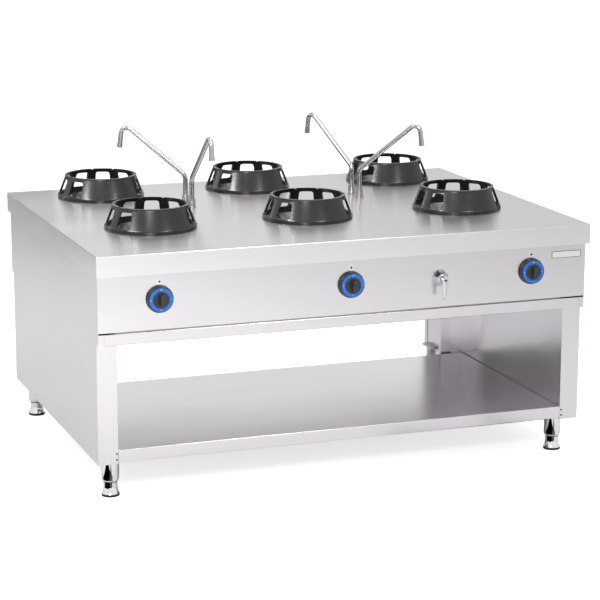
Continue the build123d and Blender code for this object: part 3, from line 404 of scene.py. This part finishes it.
def worktop_steel():
    """Worktop sheet, ground one way only: the flat smears its reflections across the streaks, towards the
    eye, and the skirt folded down round it is evenly satined. The flat's colour is painted greyer as
    painted shade, and the skirt's is painted brighter as a painted highlight, though both are one sheet."""
    made, tree, shader, place = material("fine_ground_worktop_steel")
    streaks, clouds = belt_marks(tree, place, "X")
    height = add(tree, "ShaderNodeSeparateXYZ", links={"Vector": place}).outputs["Z"]
    # Mask of the flat top by height: it sets both the painted tone step between top and skirt and the
    # top's one-way grinding.
    flat = span(tree, height, 0, 1, WORKTOP - 1.4 * MM, WORKTOP - 0.6 * MM)
    # Painted highlight: the skirt's colour is painted brighter than the top's. Painted shade: the top's
    # colour below is painted greyer, on the same sheet.
    skirt = blend_colours(tree, span(tree, streaks, 0, 1), "#e3e0e3", "#dedbde")
    top = blend_colours(tree, span(tree, streaks, 0, 1), "#c6c3c6", "#c2bfc2")
    sources = {MIX_FACTOR: flat, MIX_FIRST: skirt, MIX_SECOND: top}
    colour = add(tree, "ShaderNodeMix", {"data_type": "RGBA"}, sources).outputs[MIX_RESULT]
    coat(tree, shader, colour, span(tree, clouds, 0.23, 0.27), metallic=1.0)
    tree.links.new(span(tree, flat, 0.0, 0.93, 0, 1), shader.inputs["Anisotropic"])
    across = add(tree, "ShaderNodeCombineXYZ", {"Y": 1.0}).outputs["Vector"]
    tree.links.new(across, shader.inputs["Tangent"])
    relief(tree, shader, streaks, 0.01, 0.15)
    return made


def polished_chrome(name="polished_chrome_plate", light="#e6e6e8", dark="#dadadd", gloss=0.03):
    """Bright chrome on polished steel or brass: near-mirror, with the faint orange peel of the plating."""
    made, tree, shader, place = material(name)
    peel = grain(tree, place, 6, 6, "X", detail=2.0)
    smears = grain(tree, place, 25, 60, "Z", detail=3.0)
    colour = blend_colours(tree, smears, light, dark)
    coat(tree, shader, colour, span(tree, smears, gloss, gloss + 0.04), metallic=1.0)
    relief(tree, shader, peel, 0.015, 0.2)
    return made


def enamelled_iron():
    """Sand-cast iron under matt black enamel: a soft sheen over the sand's grain, paler in patches."""
    made, tree, shader, place = material("matt_enamelled_cast_iron")
    sand = grain(tree, place, 1.6, 1.6, "X", detail=5.0)
    clouds = grain(tree, place, 45, 45, "X", detail=3.0)
    colour = blend_colours(tree, span(tree, clouds, 0, 1), "#161518", "#1d1c1f")
    coat(tree, shader, colour, span(tree, clouds, 0.22, 0.27), specular=0.42)
    relief(tree, shader, sand, 0.06, 0.2)
    return made


def burner_iron():
    """Bare cast iron greyed by flame: dull, with a scaly mottling."""
    made, tree, shader, place = material("heat_greyed_cast_iron")
    scale = grain(tree, place, 2.2, 2.2, "X", detail=6.0)
    patches = grain(tree, place, 22, 22, "X", detail=3.0)
    colour = blend_colours(tree, span(tree, patches, 0, 1), "#6d6c6c", "#8b8a89")
    coat(tree, shader, colour, span(tree, patches, 0.42, 0.6), metallic=0.7)
    relief(tree, shader, scale, 0.3, 0.3)
    return made


def pressed_steel():
    """Deep-drawn stainless of the burner bowls: bright arcs of light over a skin dulled by the heat."""
    made, tree, shader, place = material("pressed_bright_steel")
    heat = grain(tree, place, 60, 60, "X", detail=3.0)
    colour = blend_colours(tree, span(tree, heat, 0, 1), "#989799", "#858385")
    coat(tree, shader, colour, span(tree, heat, 0.16, 0.3), metallic=1.0)
    relief(tree, shader, heat, 0.1, 0.5)
    return made


def zinc_plate(name="zinc_plated_steel", first="#aeb1b4", second="#c6c9cb"):
    """Plated mild steel: grey, with the crystals' patchy glint."""
    made, tree, shader, place = material(name)
    crystals = add(
        tree, "ShaderNodeTexVoronoi", {"Scale": 1 / (7 * MM)}, {"Vector": place}
    ).outputs["Distance"]
    colour = blend_colours(tree, crystals, first, second)
    coat(tree, shader, colour, span(tree, crystals, 0.3, 0.48, 0.0, 0.8), metallic=1.0)
    relief(tree, shader, crystals, 0.05, 0.2)
    return made


def tube_metal(name, bright, dull):
    """Drawn copper or machined brass: warm, with a cloudy tarnish."""
    made, tree, shader, place = material(name)
    tarnish = grain(tree, place, 14, 30, "Y")
    colour = blend_colours(tree, span(tree, tarnish, 0, 1), bright, dull)
    coat(tree, shader, colour, span(tree, tarnish, 0.22, 0.4), metallic=1.0)
    relief(tree, shader, tarnish, 0.05, 0.2)
    return made


def moulded_plastic(name, main, shade, gloss):
    """Moulded plastic with a fine spark-eroded grain, which breaks up its gloss."""
    made, tree, shader, place = material(name)
    pebbles = grain(tree, place, 1.0, 1.0, "X", detail=3.0)
    clouds = grain(tree, place, 12, 12, "X", detail=2.0)
    colour = blend_colours(tree, clouds, main, shade)
    coat(tree, shader, colour, span(tree, pebbles, gloss, gloss + 0.1))
    relief(tree, shader, pebbles, 0.08, 0.1)
    return made


def satin_aluminium(name="satin_anodised_aluminium", light="#e9e7ea", dark="#dfdde0"):
    """Thin anodised aluminium plate: paler and softer than the steel behind it."""
    made, tree, shader, place = material(name)
    streaks = grain(tree, place, 0.8, 60, "X")
    colour = blend_colours(tree, streaks, light, dark)
    coat(tree, shader, colour, span(tree, streaks, 0.3, 0.42), metallic=0.9)
    relief(tree, shader, streaks, 0.06, 0.1)
    return made


MADE = {}


def shared(make, *values):
    """Material made on its first use and reused afterwards; values are its name and what follows."""
    key = (make.__name__, *values[:1])
    if key not in MADE:
        MADE[key] = make(*values)
    return MADE[key]


def brass():
    """Machined brass of the valves, plungers, pilots and tap bodies."""
    return shared(tube_metal, "machined_brass", "#c9a865", "#9a7a44")


def black_nylon():
    """Black nylon of the knobs and of the levers' caps."""
    return shared(moulded_plastic, "moulded_black_nylon", "#29282b", "#222124", 0.36)


# ---------------------------------------------------------------- sizes a user would change
def length(name, description, default):
    """Length property in millimetres, kept in metres."""
    return bpy.props.FloatProperty(
        name=name, description=description, default=default * MM, unit="LENGTH", min=0.0
    )


class WOKRANGE_PG_rings(bpy.types.PropertyGroup):
    """Sizes of a wok ring's casting."""
    base_radius: length("Base radius", "Outside radius of the ring where it stands", 162)
    rim_radius: length("Rim radius", "Outside radius of the ring's top rim", 133)
    height: length("Height", "Height of the ring above the worktop", 86)
    wall: length("Wall", "Thickness of the cast wall", 8)
    edge: length("Edge", "Rounding of the casting's edges", 1.6)
    window_width: length("Window width", "Width of a window at its foot", 60)


class WOKRANGE_PG_knobs(bpy.types.PropertyGroup):
    """Sizes and colours of a gas knob."""
    skirt_radius: length("Skirt radius", "Radius of the knob's skirt at the panel", 46.5)
    face_radius: length("Face radius", "Radius of the knob's face round the dial", 42.1)
    hub_radius: length("Hub radius", "Radius of the hub inside the dial", 28)
    mark_height: length("Mark height", "Height of the numbers printed on the dial", 7)
    dial_colour: bpy.props.StringProperty(
        name="Dial colour", description="Hex colour of the dial ring", default="#1c6fcb"
    )


class WOKRANGE_PG_stage(bpy.types.PropertyGroup):
    """Camera and light."""
    floor_size: bpy.props.FloatProperty(
        name="Floor size", description="Side of the square floor", default=60.0, unit="LENGTH"
    )
    lens: bpy.props.FloatProperty(
        name="Lens", description="Focal length on a 36 mm sensor, in millimetres", default=129.06
    )
    sky: bpy.props.FloatProperty(
        name="Sky", description="Strength of the even white light from all round", default=0.5
    )
    glow: bpy.props.FloatProperty(
        name="Glow", description="Light that the floor adds for the camera alone", default=0.66
    )


# ---------------------------------------------------------------- sheet metal
class WOKRANGE_OT_sheet_metal(bpy.types.Operator):
    """Dress the worktop, panels, stiles, rails, liners, shelf and tray in brushed stainless steel"""
    bl_idname = "wokrange.sheet_metal"
    bl_label = "Sheet metal"

    def execute(self, context):
        top = shared(worktop_steel)
        lengthwise = shared(brushed_stainless, "belt_ground_stainless_lengthwise", "X")
        crosswise = shared(brushed_stainless, "belt_ground_stainless_crosswise", "Y")
        upright = shared(brushed_stainless, "belt_ground_stainless_upright", "Z")
        grain_ways = {
            top: ("countertop",),
            lengthwise: ("front_control_panel", "rear_control_panel", "cabinet_rails", "shelf",
                         "burner_box_floor"),
            crosswise: ("side_panel_left", "side_panel_right", "inner_side_liners"),
            upright: ("corner_stiles",),
        }
        for steel, names in grain_ways.items():
            for name in names:
                dress(NODES[name], steel)
        return {"FINISHED"}


# ---------------------------------------------------------------- wok rings
class WOKRANGE_OT_wok_rings(bpy.types.Operator):
    """Cast the six wok rings, with windows all round except at the front, and a notched rim"""
    bl_idname = "wokrange.wok_rings"
    bl_label = "Wok rings"

    def execute(self, context):
        sizes = context.scene.wokrange_rings
        base = sizes.base_radius / MM
        rim = sizes.rim_radius / MM
        high = sizes.height / MM
        wall = sizes.wall / MM
        foot_bore, foot_sheet, lip = 140, 6, 14
        shoulder = lip + 1.5
        profile = [
            (foot_bore, 0), (base, 0), (base, lip - 2), (base - 3.5, shoulder),
            (rim + 1, high - 7), (rim + 1, high - 1), (rim - wall, high), (rim - wall, high - 4),
            (base - 3.5 - wall, shoulder), (base - 4 - wall, foot_sheet), (foot_bore, foot_sheet),
            (foot_bore, 0),
        ]
        ring = turned("wok_ring_pattern", profile, steps=120, looped=True)
        cut(ring, self.window_cutters(sizes.window_width / MM, base))
        cut(ring, self.notch_cutters(base, high))
        soften(ring, sizes.edge / MM, angle=32, segments=3)
        enamel = shared(enamelled_iron)
        for place_name in BURNERS:
            node = f"wok_ring_{place_name}"
            casting = copied(ring, f"wok_ring_casting_{place_name}", standing(node, WORKTOP))
            dress(casting, enamel, node, (node,))
        discard(ring)
        return {"FINISHED"}

    def turns(self, start, solid_from, solid_to):
        """Ten even turns round the ring from a start angle, less those in the solid stretch."""
        pitch = 36
        angles = [start + pitch * index for index in range(10)]
        return [radians(angle) for angle in angles if not solid_from < angle < solid_to]

    def window_cutters(self, width, reach):
        """Rounded trapezoids, pushed outwards through the wall."""
        depth, middle = reach * 0.6, reach * 0.8
        low, high, narrowing, corner = 17, 72, 10, 8
        pane = block("window_cutter", (depth, width, high - low), (middle, 0, (low + high) / 2))
        taper(pane, 1, (width - narrowing) / width)
        round_edges(pane, "X", corner, segments=4)
        return round_copies(pane, self.turns(0, 250, 290))

    def notch_cutters(self, reach, high):
        """Small pegs across the rim between the windows, which leave the gaps that vent a wok's rim."""
        depth, middle = reach * 0.6, reach * 0.8
        peg = block("notch_cutter", (depth, 9, 7), (middle, 0, high))
        round_edges(peg, "X", 2, segments=3)
        return round_copies(peg, self.turns(18, 230, 310))


# ---------------------------------------------------------------- burners
class WOKRANGE_OT_burners(bpy.types.Operator):
    """Cast the burner heads with their slotted crowns, and dress the bowls, tubes and pilots"""
    bl_idname = "wokrange.burners"
    bl_label = "Burners"

    def execute(self, context):
        profile = [
            (0, -98), (42, -98), (42, -58.5), (57, -58.5), (57, -53.5), (50, -50), (46, -14), (55, -8),
            (55, 8), (51, 12), (30, 12), (28, -2), (18, -2), (9, 15), (5, 18), (0, 18),
        ]
        head = turned("burner_head_pattern", profile, steps=80)
        slot_count = 20
        slot = block("slot_cutter", (16, 3, 12), (51, 0, 9))
        cut(head, round_copies(slot, [2 * pi * index / slot_count for index in range(slot_count)]))
        soften(head, 0.8, angle=34)
        iron = shared(burner_iron)
        for place_name in BURNERS:
            place = standing(f"wok_ring_{place_name}", WORKTOP)
            casting = copied(head, f"burner_head_{place_name}", place)
            dress(casting, iron, "range_body", ("burner_heads",))
        discard(head)
        dress(NODES["burner_bowls"], shared(pressed_steel))
        dress(NODES["mixing_tubes"], iron)
        dress(NODES["pilot_burners"], brass())
        return {"FINISHED"}


# ---------------------------------------------------------------- knobs
class WOKRANGE_OT_knobs(bpy.types.Operator):
    """Mould the gas knobs with their grips, and print the numbers on their dials"""
    bl_idname = "wokrange.knobs"
    bl_label = "Knobs"

    def execute(self, context):
        sizes = context.scene.wokrange_knobs
        skirt = sizes.skirt_radius / MM
        face = sizes.face_radius / MM
        hub = sizes.hub_radius / MM
        spindle, spindle_end = 5, -34
        gap, front, dial_edge, dial_seat, top = 4, 20, 40.1, 18.8, 26
        profile = [
            (0, spindle_end), (spindle, spindle_end), (spindle, gap), (skirt, gap), (skirt, gap + 2),
            (face, front), (dial_edge, front), (dial_edge, dial_seat), (hub, dial_seat), (hub, top - 2),
            (hub - 2, top), (0, top),
        ]
        pattern = turned("knob_pattern", profile, steps=96)
        soften(pattern, 0.5, angle=32)
        grip = self.grip()
        pattern = join([pattern, grip], "knob_pattern")
        dial = shared(moulded_plastic, "gloss_blue_acetal", sizes.dial_colour, "#1864bb", 0.22)
        ink = shared(moulded_plastic, "printed_white_ink", "#e8eef6", "#dfe7f2", 0.5)
        for side in SIDES:
            for column in COLUMNS:
                place_name = f"{side}_{column}"
                body = f"gas_knob_{place_name}"
                place = Matrix.Translation(joint_place(f"turn_knob_{place_name}")) @ facing(side)
                knob = copied(pattern, f"knob_moulding_{place_name}", place)
                dress(knob, black_nylon(), body, (body,))
                dress(NODES[f"knob_dial_{place_name}"], dial)
                marks = self.marks(f"dial_marks_{place_name}", sizes.mark_height, place)
                dress(marks, ink, body)
                dress(NODES[f"valve_plunger_{place_name}"], brass())
        discard(pattern)
        return {"FINISHED"}

    def grip(self):
        """Upright bar with round ends, drawn in towards its top."""
        bar = block("grip", (18, 42, 22), (0, 0, 36))
        round_edges(bar, "Z", 8, segments=6)
        taper(bar, 0.86, 0.94)
        soften(bar, 1.8, angle=40, segments=3)
        return bar

    def marks(self, name, height, place):
        """Numbers 0 to 3 printed round the dial, 0 at the top."""
        pieces = []
        ring, dial_face, ink_thickness = 34 * MM, 20.06 * MM, 0.05 * MM
        for number in range(4):
            fresh_start()
            bpy.ops.object.text_add(location=(0, 0, 0))
            figure = bpy.context.object
            figure.data.body = str(number)
            figure.data.size = height
            figure.data.align_x = "CENTER"
            figure.data.align_y = "CENTER"
            figure.data.extrude = ink_thickness
            bpy.ops.object.convert(target="MESH")
            turn = Matrix.Rotation(-pi / 2 * number, 4, "Z")
            figure.matrix_world = place @ turn @ Matrix.Translation((0, ring, dial_face))
            settle(figure)
            pieces.append(figure)
        return join(pieces, name)


# ---------------------------------------------------------------- taps and spouts
class WOKRANGE_OT_taps(bpy.types.Operator):
    """Cast the lever taps' faceted rosettes and tapered levers, and dress their bodies"""
    bl_idname = "wokrange.taps"
    bl_label = "Lever taps"

    def execute(self, context):
        chrome = shared(polished_chrome, "chromed_cast_brass", "#cccacd", "#bfbdc0", 0.05)
        rosette = self.rosette()
        lever = self.lever()
        cap = turned("lever_cap_pattern", [
            (0, 51.2), (4.2, 51.2), (4.2, 52.9), (3.4, 53.35), (0, 53.35),
        ], steps=24)
        for side in SIDES:
            place = Matrix.Translation(joint_place(f"turn_tap_lever_{side}")) @ facing(side)
            shell = copied(rosette, f"tap_rosette_{side}", place)
            dress(shell, chrome, "range_body", ("tap_rosettes",))
            body = f"tap_lever_{side}"
            handle = copied(lever, f"tap_lever_casting_{side}", place)
            dress(handle, chrome, body, (body,))
            plug = copied(cap, f"tap_lever_cap_{side}", place)
            dress(plug, black_nylon(), body)
        for pattern in (rosette, lever, cap):
            discard(pattern)
        dress(NODES["tap_bodies"], brass())
        return {"FINISHED"}

    def rosette(self):
        """Eight-sided shell with a flat facet upwards, narrowing to a short collar round the spindle."""
        sides = 8
        profile = [
            (6, 0.3), (29, 0.3), (30.6, 1.5), (30.6, 5), (25.5, 15), (20, 26), (16, 30), (16, 33),
            (15, 33.8), (6, 33.8), (6, 0.3),
        ]
        shell = turned("rosette_pattern", profile, steps=sides, looped=True)
        round_edges(shell, "Z", 0.7, segments=2, least=0.5)
        shell.matrix_world = Matrix.Rotation(pi / sides, 4, "Z")
        settle(shell)
        return shell

    def lever(self):
        """Round hub on its spindle, with a slightly flattened lever tapering down to a rounded tip."""
        drop, stand_off, flattening = 68, 44, 0.85
        hub = turned("lever_pattern", [
            (0, -34), (4, -34), (4, 34.6), (9.6, 34.6), (11, 36), (11, 48), (10, 51.2), (7.5, 52.8),
            (4.6, 53.2), (4.6, 51.2), (0, 51.2),
        ], steps=48)
        arm = turned("arm", [
            (0, 0.3), (3, 0.3), (4.6, 1.8), (5.2, 4.2), (5.4, 10), (9.8, 62), (0, 62),
        ], steps=48)
        place = Matrix.Translation((0, -drop * MM, stand_off * MM))
        upright = Matrix.Rotation(-pi / 2, 4, "X")
        arm.matrix_world = place @ Matrix.Diagonal((1, 1, flattening, 1)) @ upright
        settle(arm)
        smooth(arm)
        smooth(hub)
        return join([hub, arm], "lever_pattern")


class WOKRANGE_OT_spouts(bpy.types.Operator):
    """Dress the swivel spouts and their sockets in chromed tube"""
    bl_idname = "wokrange.spouts"
    bl_label = "Spouts"

    def execute(self, context):
        chrome = shared(polished_chrome, "chromed_drawn_tube", "#bab8bb", "#aeacaf", 0.12)
        for row in ROWS:
            for hand in HANDS:
                dress(NODES[f"spout_{row}_{hand}"], chrome)
        dress(NODES["spout_sockets"], chrome)
        return {"FINISHED"}


# ---------------------------------------------------------------- legs, trim and pipework
class WOKRANGE_OT_legs(bpy.types.Operator):
    """Draw in the round legs at their lower ends, and turn their feet with black collars and pads"""
    bl_idname = "wokrange.legs"
    bl_label = "Legs and feet"

    def execute(self, context):
        chrome = shared(polished_chrome)
        tube = turned("leg_pattern", [
            (0, 100), (10.5, 100), (10.5, 52), (24.6, 52), (27.2, 53.2), (29.2, 56.4), (30, 61),
            (30, 130), (6, 130), (6, 139), (0, 139),
        ], steps=72)
        foot = turned("foot_pattern", [
            (0, 1), (27, 1), (27, 7.8), (30.2, 7.8), (30.5, 8.6), (28.9, 11.6), (26, 18), (24.2, 27),
            (23.4, 35), (23.6, 49.2), (10, 49.2), (10, 96.4), (9.4, 97), (0, 97),
        ], steps=72)
        pad = turned("pad_pattern", [
            (22, 0), (30.2, 0), (31, 0.8), (31, 7.6), (27.2, 7.6), (27.2, 0.8), (22, 0.8), (22, 0),
        ], steps=72, looped=True)
        collar = turned("collar_pattern", [
            (10.2, 49.4), (24.2, 49.4), (24.8, 49.9), (24.8, 51.2), (24.2, 51.7), (10.2, 51.7),
            (10.2, 49.4),
        ], steps=72, looped=True)
        for pattern in (tube, foot, pad, collar):
            smooth(pattern)
        seal = join([pad, collar], "seal_pattern")
        black = shared(moulded_plastic, "moulded_black_rubber", "#0d0d0e", "#121213", 0.75)
        for place_name in (f"{side}_{hand}" for side in SIDES for hand in HANDS):
            body = f"foot_{place_name}"
            place = standing(body, 0)
            leg = copied(tube, f"leg_tube_{place_name}", place)
            dress(leg, chrome, "range_body", ("legs",))
            shell = copied(foot, f"foot_shell_{place_name}", place)
            dress(shell, chrome, body, (body,))
            rings = copied(seal, f"foot_seals_{place_name}", place)
            dress(rings, black, body)
        for pattern in (tube, foot, seal):
            discard(pattern)
        dress(NODES["leg_plates"], shared(zinc_plate))
        return {"FINISHED"}


class WOKRANGE_OT_trim(bpy.types.Operator):
    """Face the bare badge plate, whose rim is painted dark as a shadow line round the face, and dress the
    sight rings and the fasteners
    """
    bl_idname = "wokrange.trim"
    bl_label = "Trim and fasteners"

    def execute(self, context):
        dress(NODES["sight_hole_rings"], shared(polished_chrome))
        # Painted shadow: the badge plate's own node is coloured dark all over, and where the paler face
        # leaves it showing it is a painted shadow line round the badge.
        dress(NODES["badge_plate"], shared(satin_aluminium, "painted_shadow_rim", "#8f8e91", "#858487"))
        dress(NODES["fasteners"], shared(zinc_plate, "blackened_steel_screws", "#3c3c3e", "#4a4a4d"))
        low, high = (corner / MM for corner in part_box("badge_plate"))
        # The face stops short of the plate's edge by the rim, so the painted shadow line shows round it.
        rim, skin, corner_radius = 2.4, 0.25, 1.5
        centre = ((low.x + high.x) / 2, low.y - skin / 2, (low.z + high.z) / 2)
        face = block("badge_face", (high.x - low.x - 2 * rim, skin, high.z - low.z - 2 * rim), centre)
        round_edges(face, "Y", corner_radius, segments=3)
        dress(face, shared(satin_aluminium), "range_body")
        return {"FINISHED"}


class WOKRANGE_OT_pipework(bpy.types.Operator):
    """Dress the gas and water pipes and the valves inside the body"""
    bl_idname = "wokrange.pipework"
    bl_label = "Pipework"

    def execute(self, context):
        copper = shared(tube_metal, "drawn_copper", "#c98a66", "#a5684a")
        dress(NODES["gas_manifold"], shared(zinc_plate))
        dress(NODES["gas_valves"], brass())
        dress(NODES["gas_supply_tubes"], copper)
        dress(NODES["water_pipes"], copper)
        return {"FINISHED"}


# ---------------------------------------------------------------- stage
class WOKRANGE_OT_stage(bpy.types.Operator):
    """Lay the pale floor, hang the lamps and cards, and set the camera at the photograph's place"""
    bl_idname = "wokrange.stage"
    bl_label = "Stage"

    def execute(self, context):
        sizes = context.scene.wokrange_stage
        self.floor(sizes.floor_size, sizes.glow)
        self.sky(context.scene, sizes.sky)
        self.lamps()
        self.flags()
        self.camera(context.scene, sizes.lens)
        context.scene.view_settings.view_transform = "Standard"
        return {"FINISHED"}

    def floor(self, size, glow):
        """White floor. It glows for the camera alone, which keeps it white far off."""
        fresh_start()
        bpy.ops.mesh.primitive_plane_add(size=size, location=(0, 0, 0))
        floor = bpy.context.object
        floor.name = "floor"
        made, tree, shader, place = material("pale_matt_floor")
        mottle = grain(tree, place, 400, 400, "X", detail=2.0)
        tree.links.new(blend_colours(tree, mottle, "#fbfbfb", "#f8f8f8"), shader.inputs["Base Color"])
        shader.inputs["Roughness"].default_value = 0.9
        shader.inputs["Specular IOR Level"].default_value = 0.2
        shader.inputs["Emission Color"].default_value = linear("#ffffff")
        tree.links.new(seen(tree, 0.0, glow, ("Is Camera Ray",)), shader.inputs["Emission Strength"])
        floor.data.materials.append(made)

    def sky(self, scene, strength):
        """White for the camera and for reflections, softer as a light."""
        world = bpy.data.worlds.new("studio")
        scene.world = world
        world.use_nodes = True
        tree = world.node_tree
        tree.nodes.clear()
        level = seen(tree, strength, 1.0, ("Is Camera Ray", "Is Glossy Ray", "Is Transmission Ray"))
        light = add(tree, "ShaderNodeBackground", {"Color": (1, 1, 1, 1)}, {"Strength": level})
        add(tree, "ShaderNodeOutputWorld", links={"Surface": light.outputs["Background"]})

    def lamps(self):
        """Soft lamps: two high beside the camera, one over the top, two for pools of light on the floor.

        The last two light the black castings alone, to draw the bands of light down their walls."""
        castings = bpy.data.collections.new("castings")
        for place_name in BURNERS:
            castings.objects.link(bpy.data.objects[f"wok_ring_casting_{place_name}"])
        # Name, place, target, width, height, power, and whether it lights the castings alone.
        lamps = (
            ("lamp_high_left", (-4.05, -1.5, 4.6), (-0.2, 0, 0.9), 1.1, 2.2, 60, False),
            ("lamp_high_right", (1.5, -3.6, 5.2), (0.2, 0, 0.9), 0.6, 2.2, 80, False),
            ("lamp_top", (0.4, 0.6, 5.5), (0, 0, 0.6), 3.0, 3.0, 60, False),
            ("lamp_front_floor", (-1.9, -4.0, 2.4), (-1.0, -3.4, 0), 1.2, 0.8, 96, False),
            ("lamp_left_floor", (-2.9, 2.9, 2.2), (-1.8, 3.0, 0), 1.0, 0.8, 14, False),
            ("gloss_high_left", (-3.85, -1.4, 4.3), (-0.2, 0, 0.9), 0.9, 2.2, 230, True),
            ("gloss_high_right", (1.7, -3.6, 5.0), (0.2, 0, 0.9), 0.5, 2.2, 40, True),
        )
        for name, location, target, width, height, power, castings_only in lamps:
            fresh_start()
            bpy.ops.object.light_add(type="AREA", location=location)
            lamp = bpy.context.object
            lamp.name = name
            lamp.data.shape = "RECTANGLE"
            lamp.data.size = width
            lamp.data.size_y = height
            lamp.data.energy = power
            aim = Vector(target) - Vector(location)
            lamp.rotation_euler = aim.to_track_quat("-Z", "Y").to_euler()
            lamp.visible_camera = False
            if castings_only:
                lamp.light_linking.receiver_collection = castings

    def flags(self):
        """Cards that only reflections see: upright ones behind, and strips by the front feet."""
        # Name, place, way it faces, width, height and two shades.
        cards = (
            ("flag_back_left", (-2.3, 3.4, 1.6), (-1, 1, 0), 0.9, 3.2, ("#2c2c2e", "#28282a")),
            ("flag_back_right", (3.6, 1.9, 1.6), (1, 0.5, 0), 1.3, 3.2, ("#2c2c2e", "#28282a")),
            ("card_behind", (-0.7, 3.0, 0.9), (0, 1, 0), 1.1, 1.2, ("#4a4a4c", "#444446")),
            ("card_under_back", (0.25, 1.0, 0.15), (0, 1, 0), 1.1, 0.3, ("#f0f0f2", "#e8e8ea")),
        )
        for name, location, normal, width, height, shades in cards:
            self.card(name, location, normal, 0, (width, height), shades)
        # Kind, compass turn from straight ahead, width at the foot and two shades.
        strips = (
            ("black", -52, 0.13, ("#050505", "#080808")),
            ("grey", -6, 0.035, ("#77777a", "#6e6e71")),
        )
        strip_length, distance, above_floor = 0.6, 0.37, 0.002
        for hand in HANDS:
            foot = node_centre(f"foot_front_{hand}")
            for kind, compass, width, shades in strips:
                way = Vector((sin(radians(compass)), -cos(radians(compass)), 0))
                spot = Vector((foot.x, foot.y, above_floor)) + way * distance
                size = (width, strip_length)
                self.card(f"{kind}_strip_{hand}_leg", spot, (0, 0, 1), compass, size, shades, flare=2.6)

    def card(self, name, location, normal, turn, size, shades, flare=None):
        """One card of an even shade, for reflections alone. A flare widens its end towards -Y."""
        fresh_start()
        bpy.ops.mesh.primitive_plane_add(size=1)
        card = bpy.context.object
        card.name = name
        if flare:
            bpy.ops.object.mode_set(mode="EDIT")
            pick(card, "VERT", lambda corner: corner.co.y < 0)
            bpy.ops.transform.resize(value=(flare, 1, 1))
            bpy.ops.object.mode_set(mode="OBJECT")
        card.location = location
        card.scale = (*size, 1)
        tilt = Vector(normal).to_track_quat("Z", "Y")
        card.rotation_euler = (tilt @ Quaternion((0, 0, 1), radians(turn))).to_euler()
        settle(card)
        made, tree, shader, place = material(name)
        weave = grain(tree, place, 30, 30, "X")
        tree.links.new(blend_colours(tree, weave, *shades), shader.inputs["Emission Color"])
        shader.inputs["Base Color"].default_value = linear("#000000")
        shader.inputs["Specular IOR Level"].default_value = 0.0
        shader.inputs["Emission Strength"].default_value = 1.0
        card.data.materials.append(made)
        card.visible_camera = False
        card.visible_diffuse = False
        card.visible_shadow = False

    def camera(self, scene, lens):
        """Camera at the photograph's place, with its compass turn, height angle and slight roll."""
        location = (-2.6341, -7.3184, 2.2475)
        turn, rise, roll = radians(-20.136), radians(12.647), radians(0.165)
        back = Vector((sin(turn) * cos(rise), -cos(turn) * cos(rise), sin(rise)))
        right = Vector((cos(turn), sin(turn), 0))
        up = back.cross(right)
        axes = Matrix((right * cos(roll) + up * sin(roll), up * cos(roll) - right * sin(roll), back))
        fresh_start()
        bpy.ops.object.camera_add(location=location)
        camera = bpy.context.object
        camera.name = "camera"
        camera.rotation_euler = axes.transposed().to_euler()
        camera.data.sensor_width = 36
        camera.data.lens = lens
        camera.data.clip_end = 200
        scene.camera = camera


class WOKRANGE_PT_panel(bpy.types.Panel):
    """Lists the range's pieces"""
    bl_label = "Wok range"
    bl_idname = "WOKRANGE_PT_panel"
    bl_space_type = "VIEW_3D"
    bl_region_type = "UI"
    bl_category = "Wok range"

    def draw(self, context):
        for operator in OPERATORS:
            self.layout.operator(operator.bl_idname)
        for name in GROUPS:
            group = getattr(context.scene, name)
            for key in group.bl_rna.properties.keys():
                if key not in ("rna_type", "name"):
                    self.layout.prop(group, key)


GROUPS = {
    "wokrange_rings": WOKRANGE_PG_rings,
    "wokrange_knobs": WOKRANGE_PG_knobs,
    "wokrange_stage": WOKRANGE_PG_stage,
}
OPERATORS = (
    WOKRANGE_OT_sheet_metal,
    WOKRANGE_OT_wok_rings,
    WOKRANGE_OT_burners,
    WOKRANGE_OT_knobs,
    WOKRANGE_OT_taps,
    WOKRANGE_OT_spouts,
    WOKRANGE_OT_legs,
    WOKRANGE_OT_trim,
    WOKRANGE_OT_pipework,
    WOKRANGE_OT_stage,
)


def register():
    for kind in (*GROUPS.values(), *OPERATORS, WOKRANGE_PT_panel):
        bpy.utils.register_class(kind)
    for name, group in GROUPS.items():
        setattr(bpy.types.Scene, name, bpy.props.PointerProperty(type=group))


def unregister():
    for name in GROUPS:
        delattr(bpy.types.Scene, name)
    for kind in (WOKRANGE_PT_panel, *reversed(OPERATORS), *GROUPS.values()):
        bpy.utils.unregister_class(kind)


def main():
    """Dresses the whole range."""
    register()
    bpy.ops.wokrange.sheet_metal()
    bpy.ops.wokrange.wok_rings()
    bpy.ops.wokrange.burners()
    bpy.ops.wokrange.knobs()
    bpy.ops.wokrange.taps()
    bpy.ops.wokrange.spouts()
    bpy.ops.wokrange.legs()
    bpy.ops.wokrange.trim()
    bpy.ops.wokrange.pipework()
    bpy.ops.wokrange.stage()
    fresh_start()
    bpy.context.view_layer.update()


if __name__ == "__main__":
    main()
